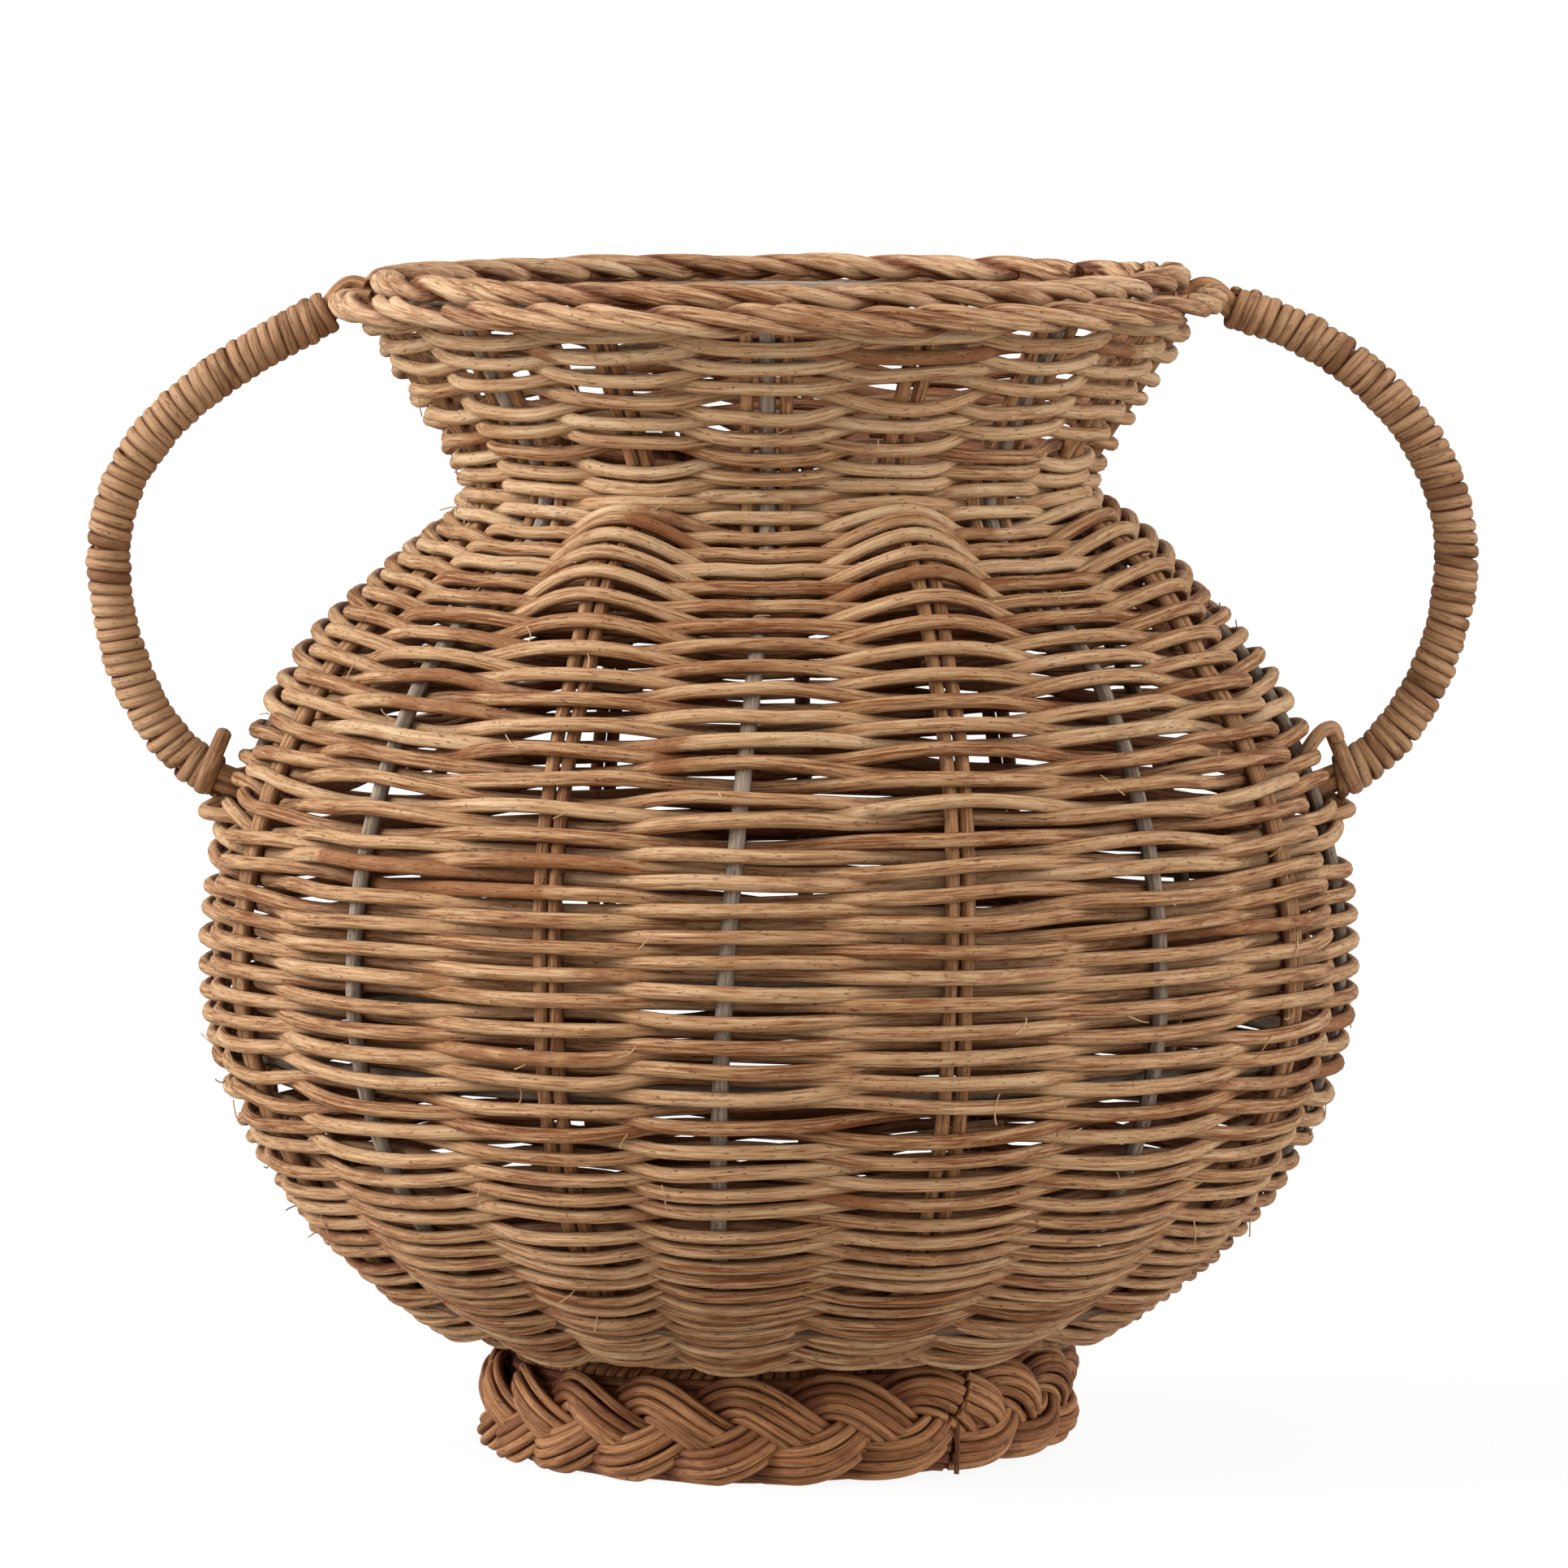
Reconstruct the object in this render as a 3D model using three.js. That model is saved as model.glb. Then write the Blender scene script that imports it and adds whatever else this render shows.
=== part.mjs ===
// A rattan vase: a round woven body on a plaited foot, with a rope border and two wrapped ear handles.
// Millimetres, +Z up. The foot stands on z = 0, the axis of the vase is Z, the handles reach out
// along X and the front faces -Y. Turns about the axis are counted from the front towards +X.

import * as THREE from 'three';

// Clearance between pieces that touch
const CLEARANCE = 0.3;

// Outline of the body, measured on the outside of the weave
const BASE_RADIUS = 109;
const BASE_HEIGHT = 36;
const BELLY_RADIUS = 189;
const BELLY_HEIGHT = 160;
const NECK_RADIUS = 103;
const NECK_HEIGHT = 312;
const NECK_BEND_RADIUS = 9;
const RIM_RADIUS = 138;
const RIM_HEIGHT = 366;
const WALL_THICKNESS = 5;

// Rows of the weave, which stand proud before the rods and before the pairs of stakes by turns
const ROW_SPACING = 4.4;
const WEAVE_RELIEF = 3;

// Frame rods and paired side stakes, which stand by turns around the wall
const STAKE_PLACES = 16;
const STAKE_TURN = THREE.MathUtils.degToRad(-3);
const ROD_DIAMETER = 5;
const STAKE_DIAMETER = 4.3;
const STAKE_PAIR_SPACING = 5.9;
const STAKE_TOP_DROP = 4;

// Hoops that tie the rods together from inside, the rim's one just under the tops of the stakes
const HOOP_DIAMETER = 6;
const BASE_HOOP_HEIGHT = 54;
const BELLY_HOOP_HEIGHT = 133;
const RIM_HOOP_DROP = 3;

// Two ropes of the border, the upper one inside the lower one and leaned down from square to the wall
const ROPE_DIAMETER = 12.5;
const UPPER_ROPE_LEAN = THREE.MathUtils.degToRad(17);

// Plaited foot
const FOOT_RADIUS = 98;
const FOOT_CROSSINGS = 19;
const FOOT_STRANDS = 3;
const FOOT_STRAND_WIDTH = 10.5;
const FOOT_STRAND_THICKNESS = 5;
const FOOT_FLAT_DEPTH = 0.8;
const FOOT_TOP_GAP = 0.6;
const FOOT_SEAM_TURN = THREE.MathUtils.degToRad(37);
const FOOT_TIE_DIAMETER = 3.4;
const FOOT_RING_DIAMETER = 11;

// Ear handles: a bent core, its winding and a lashing at each end
const HANDLE_PAST_BELLY = 28.5;
const HANDLE_BEND_HEIGHT = 289;
const HANDLE_SEAT_HEIGHT = 217.5;
const HANDLE_TOP_SLOPE = THREE.MathUtils.degToRad(20);
const HANDLE_TOP_SWEEP = 38;
const HANDLE_UPPER_SWEEP = 41;
const HANDLE_LOWER_SWEEP = 27;
const HANDLE_SEAT_SWEEP = 26;
const HANDLE_CORE_DIAMETER = 10;
const WRAP_THICKNESS = 2.2;
const WRAP_WIDTH = 5.9;
const WRAP_SPACING = 1.1;
const WRAP_MOST_LOOPS = 24;
const LASHING_WIDTH = 5;
const LASHING_THICKNESS = 2.8;

// How finely the round forms are faceted
const WALL_FACETS = 2 * STAKE_PLACES;
const HOOP_FACETS = 2 * STAKE_PLACES;
const ROPE_FACETS = 2 * STAKE_PLACES;
const ARC_STEPS = 5;
const BEND_STEPS = 2;
const ROPE_SIDES = 8;
const HOOP_SIDES = 5;
const ROD_SIDES = 6;
const STAKE_SIDES = 4;
const FOOT_STEPS_PER_WAVE = 12;
const HANDLE_STEPS = 26;
const HANDLE_SIDES = 6;
const WRAP_STEPS_PER_LOOP = 8;
const WRAP_SIDES = 4;
const LASHING_FACETS = 12;

const RATTAN = { color: 0xb08c67, roughness: 0.7, metalness: 0 };
const BROWN_RATTAN = { color: 0x96694a, roughness: 0.7, metalness: 0 };
const GREY_RATTAN = { color: 0x82766a, roughness: 0.75, metalness: 0 };

const UP = new THREE.Vector3(0, 0, 1);
const LATHE_AXIS = new THREE.Vector3(0, 1, 0);

function piece(name, geometry, finish) {
  const mesh = new THREE.Mesh(geometry, new THREE.MeshStandardMaterial(finish));
  mesh.name = name;
  return mesh;
}

function faceted(positions, faces) {
  const geometry = new THREE.BufferGeometry();
  geometry.setAttribute('position', new THREE.Float32BufferAttribute(positions, 3));
  geometry.setIndex(faces);
  geometry.computeVertexNormals();
  return geometry;
}

// A closed section, given as radius and height, turned about Z
function turned(section, facets) {
  return new THREE.LatheGeometry(section, facets).rotateX(Math.PI / 2);
}

// A closed section turned about Z that differs from facet to facet
function turnedRelief(sectionAt, facets) {
  const positions = [];
  for (let facet = 0; facet < facets; facet += 1) {
    const turn = (2 * Math.PI * facet) / facets;
    for (const point of sectionAt(facet)) positions.push(...place(point.x, turn, point.y).toArray());
  }
  const count = positions.length / 3 / facets;
  const faces = [];
  for (let facet = 0; facet < facets; facet += 1) {
    const here = facet * count;
    const there = ((facet + 1) % facets) * count;
    for (let k = 0; k < count; k += 1) {
      const next = (k + 1) % count;
      faces.push(here + k, there + k, there + next);
      faces.push(here + k, there + next, here + next);
    }
  }
  return faceted(positions, faces);
}

function turnedRing(radius, height, diameter, sides, facets) {
  const section = [];
  for (let side = 0; side <= sides; side += 1) {
    const angle = (2 * Math.PI * (side % sides)) / sides;
    const across = (diameter / 2) * Math.cos(angle);
    section.push(new THREE.Vector2(radius + across, height + (diameter / 2) * Math.sin(angle)));
  }
  return turned(section, facets);
}

// A solid swept through stations. Each station holds its centre and the two directions that the
// section's points are measured along, and out, side and the way of travel are right-handed.
function swept(stations, section, shape = (point) => point) {
  const positions = [];
  for (const { centre, out, side } of stations) {
    for (const [outward, sideways] of section) {
      const point = centre.clone().addScaledVector(out, outward).addScaledVector(side, sideways);
      positions.push(...shape(point).toArray());
    }
  }
  const count = section.length;
  const last = (stations.length - 1) * count;
  const faces = [];
  for (let ring = 0; ring < last; ring += count) {
    for (let k = 0; k < count; k += 1) {
      const next = (k + 1) % count;
      faces.push(ring + k, ring + next, ring + count + next);
      faces.push(ring + k, ring + count + next, ring + count + k);
    }
  }
  for (let k = 1; k < count - 1; k += 1) {
    faces.push(0, k + 1, k);
    faces.push(last, last + k, last + k + 1);
  }
  return faceted(positions, faces);
}

function ovalSection(thickness, width, sides) {
  const section = [];
  for (let side = 0; side < sides; side += 1) {
    const angle = (2 * Math.PI * side) / sides;
    section.push([(thickness / 2) * Math.cos(angle), (width / 2) * Math.sin(angle)]);
  }
  return section;
}

// Stations along a row of centres, with out directions that need not be square to the path
function stationsAlong(centres, outs) {
  return centres.map((centre, i) => {
    const before = centres[Math.max(i - 1, 0)];
    const after = centres[Math.min(i + 1, centres.length - 1)];
    const along = after.clone().sub(before).normalize();
    const out = outs[i].clone().addScaledVector(along, -outs[i].dot(along)).normalize();
    return { centre, out, side: along.clone().cross(out) };
  });
}

function place(radius, turn, height) {
  return new THREE.Vector3(radius * Math.sin(turn), -radius * Math.cos(turn), height);
}

// Outline of the body

function ellipseRise(radius, rise) {
  return rise / Math.sqrt(1 - (radius / BELLY_RADIUS) ** 2);
}

function ellipsePoint(angle, rise) {
  return new THREE.Vector2(BELLY_RADIUS * Math.cos(angle), BELLY_HEIGHT + rise * Math.sin(angle));
}

function roundedCorner(before, corner, after) {
  const arriving = corner.clone().sub(before).normalize();
  const leaving = after.clone().sub(corner).normalize();
  const reach = NECK_BEND_RADIUS * Math.tan(Math.acos(arriving.dot(leaving)) / 2);
  const start = corner.clone().addScaledVector(arriving, -reach);
  const end = corner.clone().addScaledVector(leaving, reach);
  return new THREE.QuadraticBezierCurve(start, corner, end).getPoints(BEND_STEPS);
}

function bodyOutline() {
  const lowerRise = ellipseRise(BASE_RADIUS, BELLY_HEIGHT - BASE_HEIGHT);
  const upperRise = ellipseRise(NECK_RADIUS, NECK_HEIGHT - BELLY_HEIGHT);
  const baseAngle = -Math.acos(BASE_RADIUS / BELLY_RADIUS);
  const neckAngle = Math.acos(NECK_RADIUS / BELLY_RADIUS);
  const points = [];
  for (let step = 0; step < ARC_STEPS; step += 1) {
    points.push(ellipsePoint(baseAngle * (1 - step / ARC_STEPS), lowerRise));
  }
  for (let step = 0; step < ARC_STEPS; step += 1) {
    points.push(ellipsePoint((neckAngle * step) / ARC_STEPS, upperRise));
  }
  const neck = new THREE.Vector2(NECK_RADIUS, NECK_HEIGHT);
  const rim = new THREE.Vector2(RIM_RADIUS, RIM_HEIGHT);
  points.push(...roundedCorner(points[points.length - 1], neck, rim), rim);
  return points;
}

const outline = bodyOutline();
const BELLY_STATION = ARC_STEPS;
const NECK_STATION = 2 * ARC_STEPS + BEND_STEPS / 2;
const RIM_STATION = outline.length - 1;

function stretchDirection(station) {
  const start = Math.min(Math.max(station, 0), RIM_STATION - 1);
  return outline[start + 1].clone().sub(outline[start]).normalize();
}

function inwardOf(direction) {
  return new THREE.Vector2(-direction.y, direction.x);
}

// The direction into the body at a station, long enough that every stretch moves in by one unit
function inward(station) {
  const before = inwardOf(stretchDirection(station - 1));
  const after = inwardOf(stretchDirection(station));
  const mitre = before.clone().add(after).normalize();
  return mitre.divideScalar(mitre.dot(before));
}

function insetPoint(station, depth) {
  return outline[station].clone().addScaledVector(inward(station), depth);
}

function insetOutline(depth) {
  return outline.map((_, station) => insetPoint(station, depth));
}

function pointAtHeight(points, height) {
  const upper = points.findIndex((point) => point.y >= height);
  const low = points[upper - 1];
  const share = (height - low.y) / (points[upper].y - low.y);
  return low.clone().lerp(points[upper], share);
}

// Woven wall, in three zones, and woven floor

function wallZone(from, to) {
  const trim = CLEARANCE / 2;
  const outer = [];
  const inner = [];
  for (let station = from; station <= to; station += 1) {
    const slide = new THREE.Vector2();
    if (station === from && from > 0) slide.addScaledVector(stretchDirection(station), trim);
    if (station === to && to < RIM_STATION) slide.addScaledVector(stretchDirection(station - 1), -trim);
    outer.push(outline[station].clone().add(slide));
    inner.push(insetPoint(station, WALL_THICKNESS).add(slide));
  }
  inner.reverse();
  const rows = wovenRows(outer, from, to);
  return turnedRelief((facet) => [...wovenEdge(rows, facet), ...inner], WALL_FACETS);
}

let rowsBelow = 0;

// The rows of a zone, counted from the base, with their places and the directions into the wall
function wovenRows(outer, from, to) {
  const edge = new THREE.Path(outer);
  const count = Math.round(edge.getLength() / ROW_SPACING);
  const rows = [];
  for (let row = 0; row <= count; row += 1) {
    const share = row / count;
    const into = inwardOf(edge.getTangent(share));
    rows.push({ point: edge.getPoint(share), into, number: rowsBelow + row });
  }
  rows[0].into = inward(from);
  rows[count].into = inward(to);
  rowsBelow += count;
  return rows;
}

// The outer edge of a zone at a facet. Even facets stand at the stake places, odd ones between them.
function wovenEdge(rows, facet) {
  return rows.map((row) => {
    const behind = (row.number + facet / 2) % 2;
    const depth = facet % 2 === 0 ? WEAVE_RELIEF * behind : WEAVE_RELIEF / 2;
    return row.point.clone().addScaledVector(row.into, depth);
  });
}

function wovenFloor() {
  const lower = outline[0].clone().addScaledVector(stretchDirection(0), -CLEARANCE);
  const upper = lower.clone().addScaledVector(inward(0), WALL_THICKNESS);
  const section = [new THREE.Vector2(0, lower.y), lower, upper, new THREE.Vector2(0, upper.y)];
  return turned(section, WALL_FACETS);
}

// Rods, side stakes and hoops

const rodDepth = WALL_THICKNESS + CLEARANCE + ROD_DIAMETER / 2;
const hoopDepth = rodDepth + ROD_DIAMETER / 2 + CLEARANCE + HOOP_DIAMETER / 2;

// A stake follows the wall from the floor to just under the border, shifted sideways from its place
function stakeAlongWall(depth, turn, shift, diameter, sides) {
  const across = new THREE.Vector3(Math.cos(turn), Math.sin(turn), 0);
  const stations = outline.map((_, station) => {
    const point = insetPoint(station, depth);
    if (station === RIM_STATION) point.addScaledVector(stretchDirection(station), -STAKE_TOP_DROP);
    const way = inward(station);
    const centre = place(point.x, turn, point.y).addScaledVector(across, shift);
    return { centre, out: place(-way.x, turn, -way.y), side: across };
  });
  return swept(stations, ovalSection(diameter, diameter, sides));
}

function frameRod(turn) {
  return stakeAlongWall(rodDepth, turn, 0, ROD_DIAMETER, ROD_SIDES);
}

function sideStake(turn, shift) {
  const facetDrop = (Math.abs(shift) + STAKE_DIAMETER / 2) * Math.tan(Math.PI / WALL_FACETS);
  const depth = WALL_THICKNESS + CLEARANCE + facetDrop + STAKE_DIAMETER / 2;
  return stakeAlongWall(depth, turn, shift, STAKE_DIAMETER, STAKE_SIDES);
}

function hoop(centre) {
  return turnedRing(centre.x, centre.y, HOOP_DIAMETER, HOOP_SIDES, HOOP_FACETS);
}

function bodyHoop(height) {
  return hoop(pointAtHeight(insetOutline(hoopDepth), height));
}

function rimHoop() {
  const down = stretchDirection(RIM_STATION).negate();
  return hoop(insetPoint(RIM_STATION, hoopDepth).addScaledVector(down, STAKE_TOP_DROP + RIM_HOOP_DROP));
}

// Border

const wallEnd = outline[RIM_STATION].clone().addScaledVector(inward(RIM_STATION), WALL_THICKNESS / 2);
const ropeSeat = ROPE_DIAMETER / 2 + CLEARANCE;
const lowerRope = wallEnd.clone().addScaledVector(stretchDirection(RIM_STATION), ropeSeat);
const ropeLean = inwardOf(stretchDirection(RIM_STATION)).rotateAround(new THREE.Vector2(), UPPER_ROPE_LEAN);
const upperRope = lowerRope.clone().addScaledVector(ropeLean, ROPE_DIAMETER + CLEARANCE);

function borderRope(centre) {
  return turnedRing(centre.x, centre.y, ROPE_DIAMETER, ROPE_SIDES, ROPE_FACETS);
}

// Foot: three plaited strands, open at the seam, where a tie stands, and the ring behind them

const footHeight = BASE_HEIGHT - FOOT_TOP_GAP;
const strandDepth = (FOOT_STRAND_THICKNESS + 3 * CLEARANCE) / Math.sqrt(3);
const plaitRadius = FOOT_RADIUS - strandDepth - FOOT_STRAND_THICKNESS / 2;
const seamHalfTurn = (FOOT_TIE_DIAMETER / 2 + CLEARANCE) / plaitRadius;

function footStrand(strand) {
  const steps = Math.round((FOOT_STEPS_PER_WAVE * FOOT_CROSSINGS) / FOOT_STRANDS);
  const swing = (footHeight + FOOT_FLAT_DEPTH - FOOT_STRAND_WIDTH) / 2;
  const middle = (footHeight - FOOT_FLAT_DEPTH) / 2;
  const centres = [];
  const outs = [];
  for (let step = 0; step <= steps; step += 1) {
    const turn = FOOT_SEAM_TURN + seamHalfTurn + ((2 * Math.PI - 2 * seamHalfTurn) * step) / steps;
    const wave = (step + 0.5) / FOOT_STEPS_PER_WAVE + strand / FOOT_STRANDS;
    const phase = 2 * Math.PI * wave;
    const radius = plaitRadius - strandDepth * Math.sin(2 * phase);
    centres.push(place(radius, turn, middle + swing * Math.sin(phase)));
    outs.push(place(1, turn, 0));
  }
  const half = FOOT_STRAND_THICKNESS / 2;
  const edge = FOOT_STRAND_WIDTH / 2;
  const section = [
    [half, 0], [half / 2, edge], [-half / 2, edge], [-half, 0], [-half / 2, -edge], [half / 2, -edge],
  ];
  const standing = (point) => point.setZ(Math.max(point.z, 0));
  const stations = stationsAlong(centres, outs);
  for (const end of [0, steps]) {
    stations[end].out = outs[end];
    stations[end].side = UP.clone().negate();
  }
  return swept(stations, section, standing);
}

function footTie() {
  const radius = FOOT_TIE_DIAMETER / 2;
  const tie = new THREE.CylinderGeometry(radius, radius, footHeight, ROPE_SIDES);
  const middle = place(plaitRadius, FOOT_SEAM_TURN, footHeight / 2);
  return tie.rotateX(Math.PI / 2).translate(middle.x, middle.y, middle.z);
}

function footRing() {
  const behind = plaitRadius - strandDepth - FOOT_STRAND_THICKNESS / 2 - CLEARANCE;
  const floorUnderside = outline[0].y - stretchDirection(0).y * CLEARANCE;
  const height = floorUnderside - CLEARANCE - FOOT_RING_DIAMETER / 2;
  const radius = behind - FOOT_RING_DIAMETER / 2;
  return turnedRing(radius, height, FOOT_RING_DIAMETER, ROPE_SIDES, HOOP_FACETS);
}

// Handle on the +X side: from the lower rope out to its bend and back to its seat on the shoulder

function handlePath() {
  const outOfRope = new THREE.Vector3(Math.cos(HANDLE_TOP_SLOPE), 0, -Math.sin(HANDLE_TOP_SLOPE));
  const top = new THREE.Vector3(lowerRope.x, 0, lowerRope.y).addScaledVector(outOfRope, ropeSeat);
  const bend = new THREE.Vector3(BELLY_RADIUS + HANDLE_PAST_BELLY, 0, HANDLE_BEND_HEIGHT);
  const onWall = pointAtHeight(outline, HANDLE_SEAT_HEIGHT);
  const seatStretch = outline.findIndex((point) => point.y >= HANDLE_SEAT_HEIGHT) - 1;
  const away = inwardOf(stretchDirection(seatStretch)).negate();
  const leaving = new THREE.Vector3(away.x, 0, away.y);
  const seat = new THREE.Vector3(onWall.x, 0, onWall.y).addScaledVector(leaving, CLEARANCE);
  const path = new THREE.CurvePath();
  path.add(new THREE.CubicBezierCurve3(
    top,
    top.clone().addScaledVector(outOfRope, HANDLE_TOP_SWEEP),
    bend.clone().addScaledVector(UP, HANDLE_UPPER_SWEEP),
    bend,
  ));
  path.add(new THREE.CubicBezierCurve3(
    bend,
    bend.clone().addScaledVector(UP, -HANDLE_LOWER_SWEEP),
    seat.clone().addScaledVector(leaving, HANDLE_SEAT_SWEEP),
    seat,
  ));
  return path;
}

const handle = handlePath();
const handleLength = handle.getLength();
const ACROSS_HANDLE = new THREE.Vector3(0, 1, 0);

function handleDirection(share) {
  const step = 0.001;
  const ahead = handle.getPoint(Math.min(share + step, 1));
  return ahead.sub(handle.getPoint(Math.max(share - step, 0))).normalize();
}

function handleCore() {
  const stations = [];
  for (let step = 0; step <= HANDLE_STEPS; step += 1) {
    const share = step / HANDLE_STEPS;
    const out = ACROSS_HANDLE.clone().cross(handleDirection(share));
    stations.push({ centre: handle.getPoint(share), out, side: ACROSS_HANDLE });
  }
  return swept(stations, ovalSection(HANDLE_CORE_DIAMETER, HANDLE_CORE_DIAMETER, HANDLE_SIDES));
}

function handleWrap() {
  const start = LASHING_WIDTH + 2 * CLEARANCE + WRAP_SPACING + WRAP_WIDTH / 2;
  const length = handleLength - 2 * start;
  const loops = Math.min(WRAP_MOST_LOOPS, Math.floor(length / (WRAP_WIDTH + WRAP_SPACING)));
  const steps = loops * WRAP_STEPS_PER_LOOP;
  const innerRadius = (HANDLE_CORE_DIAMETER / 2 + CLEARANCE) / Math.cos(Math.PI / WRAP_STEPS_PER_LOOP);
  const radius = innerRadius + WRAP_THICKNESS / 2;
  const centres = [];
  const outs = [];
  for (let step = 0; step <= steps; step += 1) {
    const share = (start + (length * step) / steps) / handleLength;
    const angle = (2 * Math.PI * step) / WRAP_STEPS_PER_LOOP;
    const inPlane = ACROSS_HANDLE.clone().cross(handleDirection(share));
    const out = inPlane.multiplyScalar(Math.cos(angle)).addScaledVector(ACROSS_HANDLE, Math.sin(angle));
    outs.push(out);
    centres.push(handle.getPoint(share).addScaledVector(out, radius));
  }
  printLeastGap(centres);
  straightenEnds(centres, outs);
  return swept(stationsAlong(centres, outs), ovalSection(WRAP_THICKNESS, WRAP_WIDTH, WRAP_SIDES));
}

// Both ends of the winding run straight on for one thickness
function straightenEnds(centres, outs) {
  const first = centres[0].clone().sub(centres[1]).setLength(WRAP_THICKNESS);
  const end = centres.length - 1;
  const last = centres[end].clone().sub(centres[end - 1]).setLength(WRAP_THICKNESS);
  centres.push(centres[end].clone().add(last));
  centres.unshift(centres[0].clone().add(first));
  outs.unshift(outs[0].clone());
  outs.push(outs[outs.length - 1].clone());
}

function printLeastGap(centres) {
  let least = Infinity;
  for (let i = 0; i < centres.length; i += 1) {
    for (let j = i + WRAP_STEPS_PER_LOOP - 1; j < centres.length; j += 1) {
      least = Math.min(least, centres[i].distanceTo(centres[j]) - WRAP_WIDTH);
    }
  }
  console.log(`handle winding: least gap between its loops ${least.toFixed(2)} mm`);
}

function handleLashing(distance) {
  const inner = (HANDLE_CORE_DIAMETER / 2 + CLEARANCE) / Math.cos(Math.PI / LASHING_FACETS);
  const outer = inner + LASHING_THICKNESS;
  const edge = LASHING_WIDTH / 2;
  const crown = LASHING_WIDTH / 5;
  const section = [
    [inner, -edge], [outer - crown, -edge], [outer, -crown],
    [outer, crown], [outer - crown, edge], [inner, edge], [inner, -edge],
  ].map(([radius, along]) => new THREE.Vector2(radius, along));
  const share = distance / handleLength;
  const ring = new THREE.LatheGeometry(section, LASHING_FACETS);
  ring.applyQuaternion(new THREE.Quaternion().setFromUnitVectors(LATHE_AXIS, handleDirection(share)));
  const centre = handle.getPoint(share);
  return ring.translate(centre.x, centre.y, centre.z);
}

// Assembly

const woven = new THREE.Group();
woven.rotation.z = STAKE_TURN;
woven.add(piece('lower_wall', wallZone(0, BELLY_STATION), RATTAN));
woven.add(piece('upper_wall', wallZone(BELLY_STATION, NECK_STATION), RATTAN));
woven.add(piece('neck_wall', wallZone(NECK_STATION, RIM_STATION), RATTAN));
woven.add(piece('woven_floor', wovenFloor(), RATTAN));
woven.add(piece('base_hoop', bodyHoop(BASE_HOOP_HEIGHT), GREY_RATTAN));
woven.add(piece('belly_hoop', bodyHoop(BELLY_HOOP_HEIGHT), GREY_RATTAN));
woven.add(piece('rim_hoop', rimHoop(), GREY_RATTAN));
for (let pair = 0; pair < STAKE_PLACES / 2; pair += 1) {
  const rodTurn = (2 * Math.PI * 2 * pair) / STAKE_PLACES;
  const stakeTurn = rodTurn + (2 * Math.PI) / STAKE_PLACES;
  const number = pair + 1;
  woven.add(piece(`frame_rod_${number}`, frameRod(rodTurn), GREY_RATTAN));
  woven.add(piece(`side_stake_${number}_left`, sideStake(stakeTurn, -STAKE_PAIR_SPACING / 2), BROWN_RATTAN));
  woven.add(piece(`side_stake_${number}_right`, sideStake(stakeTurn, STAKE_PAIR_SPACING / 2), BROWN_RATTAN));
}

const vase = new THREE.Group();
vase.add(woven);
vase.add(piece('border_lower_rope', borderRope(lowerRope), RATTAN));
vase.add(piece('border_upper_rope', borderRope(upperRope), RATTAN));
for (let strand = 0; strand < FOOT_STRANDS; strand += 1) {
  vase.add(piece(`foot_strand_${strand + 1}`, footStrand(strand), BROWN_RATTAN));
}
vase.add(piece('foot_tie', footTie(), BROWN_RATTAN));
vase.add(piece('foot_ring', footRing(), BROWN_RATTAN));

function handleSide(side, turn) {
  const ear = new THREE.Group();
  ear.rotation.z = turn;
  const lashingMiddle = CLEARANCE + LASHING_WIDTH / 2;
  ear.add(piece(`${side}_handle_core`, handleCore(), BROWN_RATTAN));
  ear.add(piece(`${side}_handle_wrap`, handleWrap(), RATTAN));
  ear.add(piece(`${side}_handle_top_lashing`, handleLashing(lashingMiddle), RATTAN));
  ear.add(piece(`${side}_handle_seat_lashing`, handleLashing(handleLength - lashingMiddle), RATTAN));
  return ear;
}

vase.add(handleSide('right', 0));
vase.add(handleSide('left', Math.PI));

export default vase;
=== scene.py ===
import math

import bpy
import numpy as np
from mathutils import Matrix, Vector


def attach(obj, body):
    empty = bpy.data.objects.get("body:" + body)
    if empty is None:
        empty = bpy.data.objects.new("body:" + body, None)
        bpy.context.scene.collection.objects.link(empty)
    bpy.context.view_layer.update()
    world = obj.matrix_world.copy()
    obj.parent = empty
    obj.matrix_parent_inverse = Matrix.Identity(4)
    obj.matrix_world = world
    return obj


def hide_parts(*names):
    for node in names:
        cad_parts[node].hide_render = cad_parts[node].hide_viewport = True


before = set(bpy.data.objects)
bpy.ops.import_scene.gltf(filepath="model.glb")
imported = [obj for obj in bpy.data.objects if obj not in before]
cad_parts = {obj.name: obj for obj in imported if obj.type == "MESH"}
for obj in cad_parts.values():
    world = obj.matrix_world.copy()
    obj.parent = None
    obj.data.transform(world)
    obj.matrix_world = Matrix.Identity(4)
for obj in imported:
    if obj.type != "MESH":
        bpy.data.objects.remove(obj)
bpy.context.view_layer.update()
rng = np.random.default_rng(23)

# Sizes are in millimetres, as on the solids, and become metres where a piece is drawn
MM = 0.001
TURN = 2 * math.pi

# Outline of the body, on the outside of the weave
BASE_RADIUS = 109
BASE_HEIGHT = 36
BELLY_RADIUS = 189
BELLY_HEIGHT = 160
NECK_RADIUS = 103
NECK_HEIGHT = 312
NECK_BEND = 11
RIM_RADIUS = 138
RIM_HEIGHT = 366
NECK_BEND_STEPS = 30
BODY_STEPS = 200
OUTLINE_STEP = 0.5
OUTLINE_EASE = 8

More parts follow.
